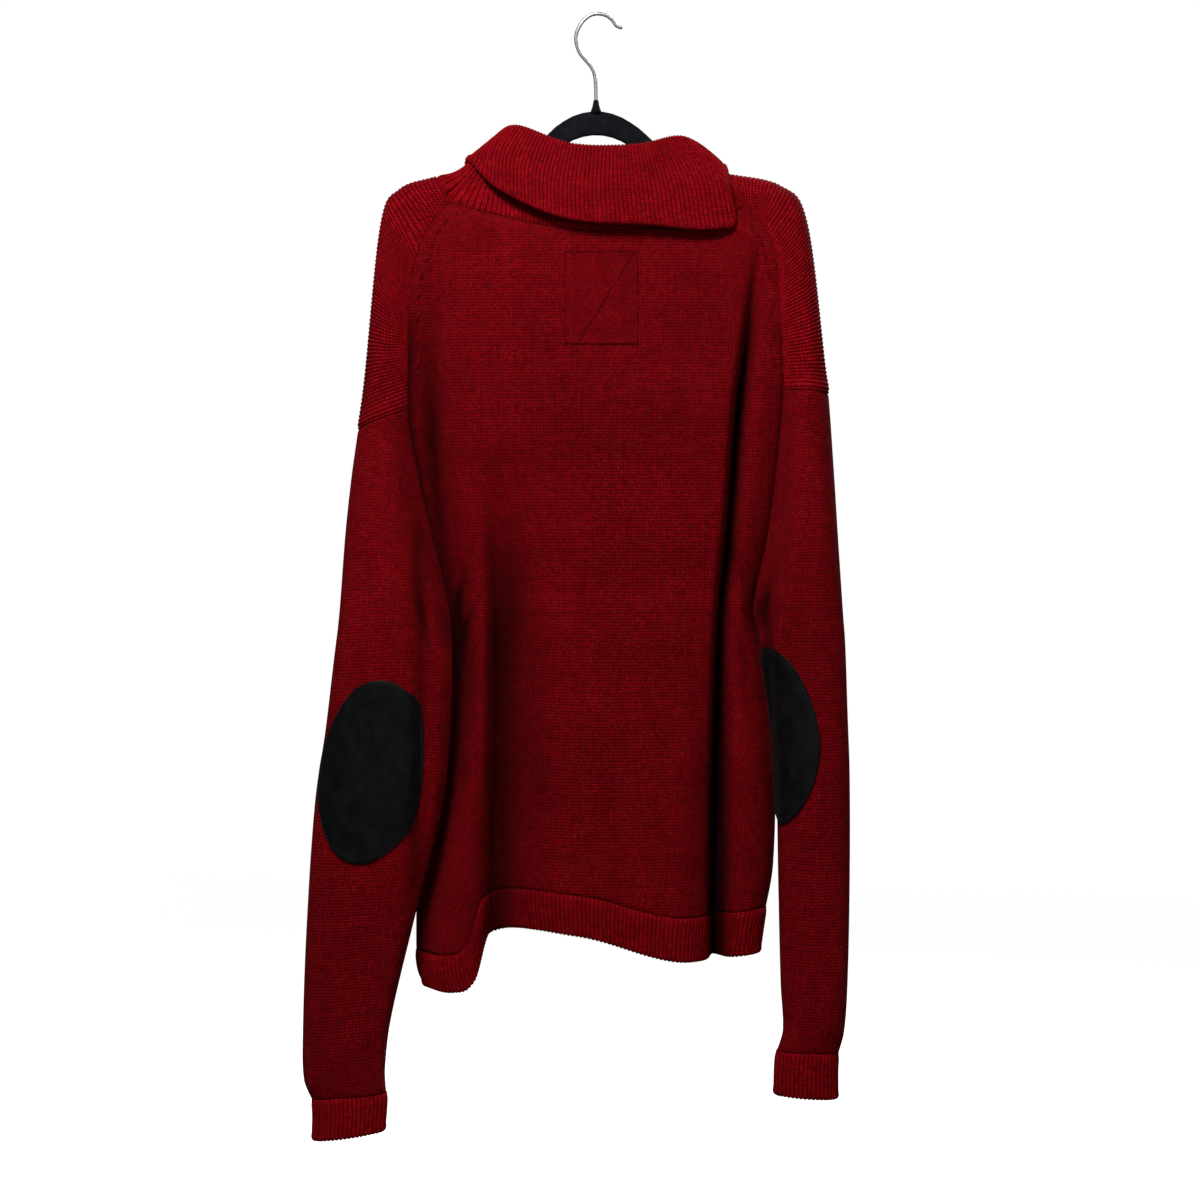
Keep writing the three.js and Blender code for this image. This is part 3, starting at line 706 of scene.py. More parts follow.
class Tree:
    """A node tree that nodes are added to by name, with their inputs."""

    def __init__(self, tree):
        self.tree = tree

    def node(self, kind, inputs=None, **settings):
        made = self.tree.nodes.new(kind)
        for name, value in settings.items():
            setattr(made, name, value)
        for socket, value in (inputs or {}).items():
            if isinstance(value, bpy.types.NodeSocket):
                self.tree.links.new(value, made.inputs[socket])
            else:
                made.inputs[socket].default_value = value
        return made

    def link(self, output, into):
        self.tree.links.new(output, into)

    def math(self, operation, a, b=0.0, clamp=False):
        made = self.node("ShaderNodeMath", {0: a, 1: b}, operation=operation, use_clamp=clamp)
        return made.outputs[0]

    def noise(self, vector, scale, detail=2.0, roughness=0.5):
        inputs = {"Vector": vector, "Scale": scale, "Detail": detail, "Roughness": roughness}
        return self.node("ShaderNodeTexNoise", inputs).outputs["Fac"]

    def blend(self, factor, a, b, kind="MIX"):
        made = self.node("ShaderNodeMix", data_type="RGBA", blend_type=kind)
        for socket, value in ((0, factor), (6, a), (7, b)):
            if isinstance(value, bpy.types.NodeSocket):
                self.tree.links.new(value, made.inputs[socket])
            else:
                made.inputs[socket].default_value = value
        return made.outputs[2]

    def spread(self, value, low, high, to_low=0.0, to_high=1.0):
        inputs = {"Value": value, "From Min": low, "From Max": high,
                  "To Min": to_low, "To Max": to_high}
        return self.node("ShaderNodeMapRange", inputs).outputs[0]


def new_group(name, inputs, outputs):
    """A shader node group with its sockets, given as (name, type) pairs."""
    group = bpy.data.node_groups.new(name, "ShaderNodeTree")
    for in_out, sockets in (("INPUT", inputs), ("OUTPUT", outputs)):
        for socket, kind in sockets:
            group.interface.new_socket(socket, in_out=in_out, socket_type=f"NodeSocket{kind}")
    tree = Tree(group)
    return group, tree, tree.node("NodeGroupInput").outputs, tree.node("NodeGroupOutput").inputs


def new_material(name):
    """A material with its node tree and its Principled shader."""
    material = bpy.data.materials.new(name)
    material.use_nodes = True
    return material, Tree(material.node_tree), material.node_tree.nodes["Principled BSDF"]


def heathered(tree, shader):
    """The heather group in a material, with the yarn's colours, feeding its colour."""
    knit = bpy.context.scene.sweater_knit
    heather = tree.node("ShaderNodeGroup", node_tree=heather_group())
    for socket, value in (("Wool", knit.wool), ("Shade", knit.shade), ("Fleck", knit.fleck)):
        heather.inputs[socket].default_value = value
    tree.link(heather.outputs["Color"], shader.inputs["Base Color"])
    shader.inputs["Roughness"].default_value = 0.92
    shader.inputs["Specular IOR Level"].default_value = 0.03
    return heather


def knit_group():
    """Stocking stitch: rows of V-shaped stitches on a UV map in metres."""
    found = bpy.data.node_groups.get("Knit Stitches")
    if found:
        return found
    group, tree, given, result = new_group(
        "Knit Stitches",
        (("UV", "Vector"), ("Wale", "Float"), ("Course", "Float"), ("Unevenness", "Float"),
         ("Split", "Float")),
        (("Height", "Float"), ("Gap", "Float"), ("Strand", "Float"), ("Tone", "Float")),
    )
    split = tree.node("ShaderNodeSeparateXYZ", {0: given["UV"]}).outputs
    wobble = tree.noise(given["UV"], 130.0, 2.0)
    wobble = tree.math("MULTIPLY", tree.math("SUBTRACT", wobble, 0.5), given["Unevenness"])
    u = tree.math("ADD", tree.math("DIVIDE", split[0], given["Wale"]), wobble)
    v = tree.math("ADD", tree.math("DIVIDE", split[1], given["Course"]), wobble)
    middle = tree.math("SUBTRACT", tree.math("FRACT", u), 0.5)
    side = tree.math("MULTIPLY", tree.math("ABSOLUTE", middle), 2.0)
    leg = tree.math("SINE", tree.math("MULTIPLY", side, math.pi))
    leg = tree.math("POWER", tree.math("MAXIMUM", leg, 0.0), 0.55)
    # Split is how deep the groove down the middle of a column of stitches is.
    whole = tree.math("MULTIPLY", tree.math("LESS_THAN", side, 0.5),
                      tree.math("SUBTRACT", 1.0, given["Split"]))
    leg = tree.math("ADD", leg, tree.math("MULTIPLY", whole, tree.math("SUBTRACT", 1.0, leg)))
    slant = tree.math("FRACT", tree.math("SUBTRACT", v, tree.math("MULTIPLY", side, 0.55)))
    strand = tree.math("SINE", tree.math("MULTIPLY", slant, math.pi))
    strand = tree.math("POWER", tree.math("MAXIMUM", strand, 0.0), 0.6)
    ply = tree.math("ADD", tree.math("MULTIPLY", strand, 0.68), 0.32)
    height = tree.math("MULTIPLY", leg, ply)
    links = tree.tree.links
    links.new(height, result["Height"])
    links.new(tree.math("SUBTRACT", 1.0, height, clamp=True), result["Gap"])
    # Each stitch, each row and each column has a random tone of its own.
    stitch = tree.node("ShaderNodeCombineXYZ", {0: tree.math("FLOOR", u), 1: tree.math("FLOOR", v)})
    single = tree.node("ShaderNodeTexWhiteNoise", {0: stitch.outputs[0]}).outputs["Value"]
    row = tree.node("ShaderNodeTexWhiteNoise", {"W": tree.math("FLOOR", v)},
                    noise_dimensions="1D").outputs["Value"]
    column = tree.node("ShaderNodeTexWhiteNoise", {"W": tree.math("FLOOR", u)},
                       noise_dimensions="1D").outputs["Value"]
    tone = tree.math("ADD", tree.math("MULTIPLY", single, 0.76),
                     tree.math("MULTIPLY", tree.math("ADD", row, column), 0.12))
    links.new(tone, result["Tone"])
    # Fine fibres twist along each strand.
    twist = tree.math("MULTIPLY", tree.math("ADD", slant, tree.math("MULTIPLY", v, 3.0)), 18.0)
    links.new(tree.math("MULTIPLY", tree.math("SINE", twist), height), result["Strand"])
    return group


def heather_group():
    """Uneven dye, lighter fibres, and painted shade in folds, seams, grooves and between stitches.
    """
    found = bpy.data.node_groups.get("Heather Wool")
    if found:
        return found
    group, tree, given, result = new_group(
        "Heather Wool",
        (("Wool", "Color"), ("Shade", "Color"), ("Fleck", "Color"), ("Gap", "Float"),
         ("Tone", "Float"), ("Painted Shade", "Float")),
        (("Color", "Color"), ("Fuzz", "Float")),
    )
    place_at = tree.node("ShaderNodeTexCoord").outputs["Object"]
    fibres = tree.noise(place_at, 800.0, 4.0, 0.75)
    broad = tree.noise(place_at, 7.0, 3.0)
    patchy = tree.noise(place_at, 55.0, 3.0)
    # Deep between the stitches the wool is painted in shade.
    base = tree.blend(tree.spread(given["Gap"], 0.12, 0.62), given["Wool"], given["Shade"])
    fleck = tree.math("MULTIPLY", tree.spread(fibres, 0.54, 0.68),
                      tree.spread(patchy, 0.35, 0.7, 0.35, 0.9))
    mixed = tree.blend(tree.math("MULTIPLY", fleck, 0.8), base, given["Fleck"])
    tone = tree.spread(broad, 0.3, 0.7, 0.86, 1.1)
    tone = tree.math("MULTIPLY", tone, tree.spread(patchy, 0.3, 0.7, 0.93, 1.05))
    tone = tree.math("MULTIPLY", tone, tree.spread(given["Tone"], 0.1, 0.9, 0.79, 1.25))
    # The shade of a fold is painted as well as lit: the deeper the cloth, the darker it is.
    tone = tree.math("MULTIPLY", tone, tree.spread(given["Painted Shade"], 0.12, 1.0, 1.0, 0.13))
    toned = tree.node("ShaderNodeHueSaturation", {"Value": tone, "Color": mixed}).outputs[0]
    tree.tree.links.new(toned, result["Color"])
    tree.tree.links.new(fibres, result["Fuzz"])
    return group


def wool_material(name, wale, course, depth, split):
    """Wool knit on the cloth's UV map: a stitch's width, height, depth and middle groove."""
    material, tree, shader = new_material(name)
    uv = tree.node("ShaderNodeUVMap", uv_map="cloth").outputs[0]
    stitches = tree.node("ShaderNodeGroup", {"UV": uv}, node_tree=knit_group())
    for socket, value in (("Wale", wale), ("Course", course), ("Unevenness", 0.3),
                          ("Split", split)):
        stitches.inputs[socket].default_value = value
    heather = heathered(tree, shader)
    painted_shade = tree.node("ShaderNodeAttribute", attribute_name="painted_shade").outputs["Fac"]
    tree.link(stitches.outputs["Gap"], heather.inputs["Gap"])
    tree.link(stitches.outputs["Tone"], heather.inputs["Tone"])
    tree.link(painted_shade, heather.inputs["Painted Shade"])
    stitch_bump = tree.node("ShaderNodeBump", {"Strength": 0.9, "Distance": depth,
                                               "Height": stitches.outputs["Height"]})
    fibre = tree.math("ADD", tree.math("MULTIPLY", stitches.outputs["Strand"], 0.3),
                      heather.outputs["Fuzz"])
    fibre_bump = tree.node("ShaderNodeBump", {"Strength": 0.5, "Distance": 0.0005,
                                              "Height": fibre,
                                              "Normal": stitch_bump.outputs[0]})
    tree.link(fibre_bump.outputs[0], shader.inputs["Normal"])
    shader.inputs["Sheen Weight"].default_value = 0.05
    shader.inputs["Sheen Roughness"].default_value = 0.45
    shader.inputs["Sheen Tint"].default_value = SHEEN_RED
    return material


def jersey():
    """Plain stocking stitch, for the body and the sleeves."""
    knit = bpy.context.scene.sweater_knit
    return wool_material("wool_jersey", knit.wale, knit.course, 0.0013, 0.7)


def ribbing():
    """The knit of the hem, the cuffs and the collar."""
    knit = bpy.context.scene.sweater_knit
    return wool_material("wool_ribbing", knit.rib, knit.rib * 0.62, 0.0008, 0.25)


def ridging():
    """The saddles' knit, which runs across the shoulders."""
    knit = bpy.context.scene.sweater_knit
    return wool_material("wool_ridging", knit.ridge, knit.ridge * 0.7, 0.0008, 0.15)


def yarn(name, gap):
    """Plain yarn, for stitches that are shapes of their own: gap is how dark it lies."""
    material, tree, shader = new_material(name)
    heather = heathered(tree, shader)
    heather.inputs["Gap"].default_value = gap
    heather.inputs["Tone"].default_value = 0.5
    bump = tree.node("ShaderNodeBump", {"Strength": 0.5, "Distance": 0.0004,
                                        "Height": heather.outputs["Fuzz"]})
    tree.link(bump.outputs[0], shader.inputs["Normal"])
    return material


def shared(make):
    """The material that make builds, built once."""
    names = {jersey: "wool_jersey", ribbing: "wool_ribbing", ridging: "wool_ridging"}
    return bpy.data.materials.get(names[make]) or make()


def grained_material(name, base, pale, scale, depth, sheen, roughness, gloss=0.06):
    """A matt surface with a soft grain: suede, flock or thread."""
    material, tree, shader = new_material(name)
    place_at = tree.node("ShaderNodeTexCoord").outputs["Object"]
    fine = tree.noise(place_at, scale, 4.0, 0.7)
    broad = tree.noise(place_at, scale * 0.04, 3.0)
    uneven_strength = tree.math("MULTIPLY", tree.spread(broad, 0.42, 0.7), tree.spread(fine, 0.3, 0.75))
    tree.link(tree.blend(uneven_strength, base, pale), shader.inputs["Base Color"])
    rough = tree.spread(broad, 0.3, 0.7, roughness - 0.06, roughness + 0.05)
    tree.link(rough, shader.inputs["Roughness"])
    bump = tree.node("ShaderNodeBump", {"Strength": 0.6, "Distance": depth, "Height": fine})
    tree.link(bump.outputs[0], shader.inputs["Normal"])
    shader.inputs["Specular IOR Level"].default_value = gloss
    shader.inputs["Sheen Weight"].default_value = sheen
    shader.inputs["Sheen Roughness"].default_value = 0.4
    shader.inputs["Sheen Tint"].default_value = SHEEN_GREY
    return material


def chrome_material():
    """Bright plated wire with faint drawing marks."""
    material, tree, shader = new_material("bright_wire")
    place_at = tree.node("ShaderNodeTexCoord").outputs["Object"]
    marks = tree.noise(place_at, 60.0, 3.0)
    shader.inputs["Base Color"].default_value = bpy.context.scene.sweater_hanger.chrome
    shader.inputs["Metallic"].default_value = 0.72
    tree.link(tree.spread(marks, 0.3, 0.7, 0.28, 0.36), shader.inputs["Roughness"])
    return material


# ---------------------------------------------------------------------------
# Knitted pieces
# ---------------------------------------------------------------------------

def measured_uv(cloth, level=None):
    """Places on the cloth in metres: across from its middle column, and up from its bottom
    row or from a level height."""
    centre = cloth.points.shape[1] // 2
    across = cloth.across - cloth.across[:, centre:centre + 1]
    base = cloth.down[-1]
    if level is not None:
        fallen = -cloth.points[..., 2]
        base = np.array([np.interp(-level, fallen[:, c], cloth.down[:, c])
                         for c in range(fallen.shape[1])])
    return np.stack([across, base[None] - cloth.down], axis=2)


def grid_of(surface, rows, columns):
    """A grid of points from a surface that takes matching lists of u and v."""
    v, u = np.meshgrid(rows, columns, indexing="ij")
    return surface(u.ravel(), v.ravel()).reshape(len(rows), len(columns), 3)


def body_sheet(face):
    """The back or front panel, from the neck to the top of the hem's rib."""
    def surface(u, v):
        return body_at(face, u, v)

    row_count, column_count = BODY_GRID[face]
    rows, _ = even_steps(lambda t: surface(np.full_like(t, 0.5), RIB_TOP * t), row_count)
    low, _ = even_steps(lambda t: surface(t, np.full_like(t, 1.8)), column_count)
    high, _ = even_steps(lambda t: surface(t, np.full_like(t, 0.9)), column_count)
    columns = (low + high) / 2
    return Cloth(grid_of(surface, rows * RIB_TOP, columns), OUTWARD[face])


def painted_shade_of(cloth, folds, creases):
    """Painted shade, from 0 to 1, down in a sheet's folds and creases and round the underarms."""
    x = cloth.points[..., 0].ravel() / MM
    z = cloth.points[..., 2].ravel() / MM
    dark = fold_depth(folds, x, z) / DARK_DEPTH + fold_depth(creases, x, z, 60) / DARK_CREASE
    dark = np.clip(dark, 0, 1) ** 1.5
    for corner_x, corner_z in UNDERARMS:
        corner = bell(x - corner_x, UNDERARM_SPREAD[0]) * bell(z - corner_z, UNDERARM_SPREAD[1])
        dark = np.maximum(dark, corner)
    return dark.reshape(cloth.points.shape[:2])


def seam_shade(cloth, from_edge, width, top, bottom):
    """Painted shade along a sewn edge where one piece rolls over another, between two heights."""
    z = cloth.points[..., 2] / MM
    shown = smoothstep(-z, -top - 40, -top + 40) * (1 - smoothstep(-z, -bottom - 30, -bottom))
    return shown * bell(from_edge, width)


class SWEATER_OT_body(bpy.types.Operator):
    """Build the sweater's back and front panels"""
    bl_idname = "sweater.body"
    bl_label = "Back and Front"

    def execute(self, context):
        half = context.scene.sweater_knit.cloth / 2
        for face in ("back", "front"):
            cloth = body_sheet(face)
            thick = seam_half(cloth, half, ("top", "left", "right"))
            uv = measured_uv(cloth, level=ROWS_LEVEL * MM)
            # Painted shade in the folds and creases, round the underarms and along the armhole
            # seams.
            painted_shade = painted_shade_of(cloth, FOLDS[face], CREASES[face])
            right = cloth.across[:, -1:] - cloth.across
            for edge, side in ((cloth.across, "left"), (right, "right")):
                shade = seam_shade(cloth, edge, *BODY_ARMHOLE)
                painted_shade = np.maximum(painted_shade, BODY_SHADE[side] * shade)
            mesh = shell(f"{face}_panel", cloth, thick, uv, (), painted_shade)
            piece = place(f"{face}_panel", mesh, shared(jersey), "wool", face)
            declare_cloth(cloth)
        return {"FINISHED"}


class SWEATER_OT_saddles(bpy.types.Operator):
    """Build the two ridged saddles that run over the shoulders"""
    bl_idname = "sweater.saddles"
    bl_label = "Saddles"

    def execute(self, context):
        knit = context.scene.sweater_knit
        for side in ("left", "right"):
            def surface(u, v, side=side):
                return sleeve_at(side, u, v)

            def middle(t):
                return surface(np.full_like(t, 0.5), DROP_SEAM * t)

            _, run = even_steps(middle, 1)
            rows, _ = even_steps(middle, round(run / knit.ridge) * RIDGE_ROWS)
            columns, _ = even_steps(lambda t: surface(t, np.full_like(t, 0.3)), SADDLE_COLUMNS)
            cloth = Cloth(grid_of(surface, rows * DROP_SEAM, columns), OUTWARD[side])
            phase = np.arange(len(rows))[:, None] / RIDGE_ROWS
            plain_band = smoothstep(edge_distance(cloth, ("left", "right")), 0.005, 0.0085)
            relief = knit.ridge_relief * rib_wave(phase) * mix(0.25, 1.0, plain_band)
            thick = seam_half(cloth, knit.cloth / 2, ("left", "right", "bottom")) + relief
            ridge_place = np.broadcast_to((0.5 - phase) * knit.ridge, cloth.across.shape)
            centre = cloth.points.shape[1] // 2
            across = cloth.across - cloth.across[:, centre:centre + 1]
            uv = np.stack([ridge_place, across], axis=2)
            # Painted shade in the grooves between the ridges.
            groove = RIDGE_SHADE * (1 - rib_wave(phase)) * plain_band
            mesh = shell(f"{side}_saddle", cloth, thick, uv, (), groove)
            piece = place(f"{side}_saddle", mesh, shared(ridging), "wool", f"saddle_{side}")
            declare_cloth(cloth)
        return {"FINISHED"}


def creased_sleeve(side, u, v):
    """Points of a sleeve below its drop seam, with its creases."""
    points = sleeve_at(side, u, v)
    x = points[:, 0] / MM
    z = points[:, 2] / MM
    crease = fold_depth(SLEEVE_CREASES[side], x, z, 80)
    crease += 0.9 * ripple(x, z, 7.0 if side == "left" else 11.0)
    ease = smoothstep(np.abs(np.sin(math.pi * u)), 0.0, 0.3) * smoothstep(v, 0.5, 0.8)
    inward = np.sign(0.5 - u % 1.0)
    points[:, 1] += inward * crease * ease * smoothstep(np.abs(u - 0.5), 0.05, 0.2) * MM
    return points


def sleeve_sheet(side):
    """One sleeve from its drop seam to the top of the cuff."""
    def surface(u, v):
        return creased_sleeve(side, u, v)

    def middle(t):
        return surface(np.full_like(t, 0.5), mix(DROP_SEAM, RIB_TOP, t))

    row_count, column_count = SLEEVE_GRID
    rows, _ = even_steps(middle, row_count)
    columns, _ = even_steps(lambda t: surface(t, np.full_like(t, 1.3)), column_count)
    return Cloth(grid_of(surface, mix(DROP_SEAM, RIB_TOP, rows), columns), OUTWARD[side])


class SWEATER_OT_sleeves(bpy.types.Operator):
    """Build the two sleeves"""
    bl_idname = "sweater.sleeves"
    bl_label = "Sleeves"

    def execute(self, context):
        half = context.scene.sweater_knit.cloth / 2
        for side in ("left", "right"):
            cloth = sleeve_sheet(side)
            thick = seam_half(cloth, half, ("top", "left", "right"))
            uv = measured_uv(cloth)
            # Painted shade in the creases on the back of the sleeve, and along the armhole seam.
            back = smoothstep(cloth.points[..., 1] / MM, 0, -12)
            painted_shade = painted_shade_of(cloth, (), SLEEVE_CREASES[side]) * back
            shade = seam_shade(cloth, cloth.across, *SLEEVE_ARMHOLE)
            painted_shade = np.maximum(painted_shade, SLEEVE_SHADE[side] * shade)
            mesh = shell(f"{side}_sleeve", cloth, thick, uv, (), painted_shade)
            piece = place(f"{side}_sleeve", mesh, shared(jersey), "wool", f"sleeve_{side}")
            declare_cloth(cloth)
        return {"FINISHED"}


def ribbed_sheet(surface, outward, row_count):
    """A ribbed edge below RIB_TOP: its sheet, half thickness, UV and painted shade in its grooves.
    """
    knit = bpy.context.scene.sweater_knit

    def line(t):
        return surface(t, np.full_like(t, RIB_END))

    _, run = even_steps(line, 1)
    ribs = round(run / knit.rib)
    columns, _ = even_steps(line, ribs * RIB_COLUMNS)
    rows = np.linspace(RIB_TOP, RIB_END, row_count)
    cloth = Cloth(grid_of(surface, rows, columns), outward)
    phase = np.arange(len(columns))[None, :] / RIB_COLUMNS
    relief = knit.rib_relief * rib_wave(phase)
    rising = mix(0.1, 1.0, smoothstep(cloth.down, 0.0, 0.007))
    thick = knit.cloth / 2 + relief * rising + bind_off(cloth, phase)
    across = np.broadcast_to((phase + 0.5) * knit.rib, cloth.across.shape)
    uv = np.stack([across, cloth.down[-1:] - cloth.down], axis=2)
    return cloth, thick, uv, RIB_SHADE * (1 - rib_wave(phase))


def bind_off(cloth, phase):
    """The plumper last row of stitches along a free edge."""
    reach = cloth.down[-1:] - cloth.down
    plump = 0.0007 * bell(reach - 0.0012, 0.0018)
    return plump * mix(0.45, 1.0, np.abs(np.sin(math.pi * (phase + 0.25))))


class SWEATER_OT_hem(bpy.types.Operator):
    """Build the ribbed hem of the back and the front"""
    bl_idname = "sweater.hem"
    bl_label = "Hem"

    def execute(self, context):
        for face in ("back", "front"):
            def surface(u, v, face=face):
                return body_at(face, u, v)

            cloth, thick, uv, groove = ribbed_sheet(surface, OUTWARD[face], HEM_ROWS)
            # Painted shade in the folds and creases, and in the grooves between ribs.
            painted_shade = np.maximum(painted_shade_of(cloth, FOLDS[face], CREASES[face]), groove)
            mesh = shell(f"{face}_hem_rib", cloth, thick, uv, ("bottom",), painted_shade)
            piece = place(f"{face}_hem_rib", mesh, shared(ribbing), "wool", f"hem_{face}")
            declare_cloth(cloth)
        return {"FINISHED"}


class SWEATER_OT_cuffs(bpy.types.Operator):
    """Build the two ribbed cuffs"""
    bl_idname = "sweater.cuffs"
    bl_label = "Cuffs"

    def execute(self, context):
        for side in ("left", "right"):
            def surface(u, v, side=side):
                return sleeve_at(side, u, v)

            cloth, thick, uv, groove = ribbed_sheet(surface, OUTWARD[side], CUFF_ROWS)
            mesh = shell(f"{side}_cuff_rib", cloth, thick, uv, ("bottom",), groove)
            piece = place(f"{side}_cuff_rib", mesh, shared(ribbing), "wool", f"cuff_{side}")
            declare_cloth(cloth)
        return {"FINISHED"}


def neck_at(share):
    """Points of the neck edge, round from the right saddle by the front, left and back."""
    share = (share + SADDLE_SHARE) % 1.0 - SADDLE_SHARE
    zero = np.zeros_like(share)
    ring = np.empty((len(share), 3))
    stretches = (
        (-SADDLE_SHARE, SADDLE_SHARE, False, lambda u: sleeve_at("right", u, zero)),
        (SADDLE_SHARE, 0.5 - SADDLE_SHARE, True, lambda u: body_at("front", u, zero)),
        (0.5 - SADDLE_SHARE, 0.5 + SADDLE_SHARE, True, lambda u: sleeve_at("left", u, zero)),
        (0.5 + SADDLE_SHARE, 1 - SADDLE_SHARE, False, lambda u: body_at("back", u, zero)),
    )
    for start, end, backward, surface in stretches:
        u = np.clip((share - start) / (end - start), 0, 1)
        here = (share >= start) & (share <= end)
        ring[here] = surface(1 - u if backward else u)[here]
    return ring


def collar_grid(shares, rows):
    """Points of the collar: down each share of the way round, from neck seam to free edge."""
    rings = [smooth_line(ring, shares, closed=True) * MM for ring in COLLAR_RINGS]
    tip = bell(shares - CORNER_SHARE, CORNER_REACH)[:, None] * np.array(CORNER_PULL) * MM
    rings[3] += tip
    rings[2] += tip * 0.4
    knots = np.stack([neck_at(shares), *rings])
    return np.stack([smooth_line(knots, np.full(len(shares), v)) for v in rows])


class SWEATER_OT_collar(bpy.types.Operator):
    """Build the ribbed collar, turned down over itself"""
    bl_idname = "sweater.collar"
    bl_label = "Collar"

    def execute(self, context):
        knit = context.scene.sweater_knit

        def middle_ring(t):
            return smooth_line(COLLAR_RINGS[2], t, closed=True) * MM

        _, run = even_steps(middle_ring, 1)
        ribs = round(run / knit.rib)
        shares, _ = even_steps(middle_ring, ribs * RIB_COLUMNS)
        rows = np.linspace(0, 1, COLLAR_ROWS)
        points = collar_grid(shares[:-1], rows)
        cloth = Cloth(points, 1, closed=True)
        self.dent(cloth)
        phase = np.arange(ribs * RIB_COLUMNS)[None, :] / RIB_COLUMNS
        relief = knit.rib_relief * rib_wave(phase)
        top = mix(0.3, 1.0, smoothstep(cloth.down, 0.0005, 0.004))
        thick = (knit.cloth / 2 + relief) * top + 2.0 * bind_off(cloth, phase)
        across = np.broadcast_to((phase + 0.5) * knit.rib, cloth.across.shape)
        uv = np.stack([across, cloth.down[-1:] - cloth.down], axis=2)
        # Painted shade in the grooves between ribs.
        groove = RIB_SHADE * (1 - rib_wave(phase))
        mesh = shell("ribbed_collar", cloth, thick, uv, ("bottom",), groove)
        piece = place("ribbed_collar", mesh, shared(ribbing), "wool", "collar")
        free_edge = np.concatenate([cloth.points[-1], cloth.points[-1, :1]])
        edge_length = float(np.linalg.norm(np.diff(free_edge, axis=0), axis=1).sum())
        declare_cloth(cloth, width=edge_length)
        return {"FINISHED"}

    def dent(self, cloth):
        """A soft slanting dent and a few shallow waves in the flap's back."""
        points = cloth.points
        x = points[..., 0] / MM
        z = points[..., 2] / MM
        flap = smoothstep(np.linspace(0, 1, len(points)), 0.45, 0.62)[:, None]
        back = smoothstep(-points[..., 1] / MM, 4, 16)
        slant = (x - 68) * 0.82 - (z + 145) * 0.57
        depth = 3.2 * bell(slant, 9) * bell(z + 146, 26)
        depth += 0.8 * ripple(x, z, 5.0)
        points[..., 1] += flap * back * depth * MM


# ---------------------------------------------------------------------------
# Sewn-on and stitched pieces
# ---------------------------------------------------------------------------

def patch_grid(side, spread_a, spread_b, offset):
    """Points over an elbow patch, moved out from the sleeve by offset in metres."""
    mid_u, mid_v, half_u, half_v, bend = PATCHES[side]
    u = mid_u - bend * spread_b ** 2 + half_u * spread_a * np.sqrt(1 - spread_b ** 2 / 2)
    v = mid_v + half_v * spread_b * np.sqrt(1 - spread_a ** 2 / 2)
    return on_sleeve(side, u, v, offset)


def on_sleeve(side, u, v, offset):
    """Points moved out from a sleeve, with the outward directions there."""
    step = 0.004
    base = creased_sleeve(side, u, v)
    around = creased_sleeve(side, u + step, v) - creased_sleeve(side, u - step, v)
    below = creased_sleeve(side, u, v + step) - base
    normal = np.cross(around, below)
    normal /= np.linalg.norm(normal, axis=1, keepdims=True)
    if side == "right":
        normal = -normal
    return base + normal * np.reshape(offset, (-1, 1)), normal


def yarn_dashes(name, starts, ends, radius, sides=8):
    """One mesh of short stitches, each a rounded bead of thread from start to end."""
    bm = bmesh.new()
    for start, end in zip(starts, ends):
        start, end = Vector(start), Vector(end)
        along_it = end - start
        turn = along_it.to_track_quat("Z", "Y").to_matrix().to_4x4()
        size = Matrix.Diagonal((radius, radius, along_it.length / 2 + radius * 0.4, 1.0))
        matrix = Matrix.Translation((start + end) / 2) @ turn @ size
        bmesh.ops.create_uvsphere(bm, u_segments=sides, v_segments=5, radius=1.0, matrix=matrix)
    return finished_mesh(name, bm)


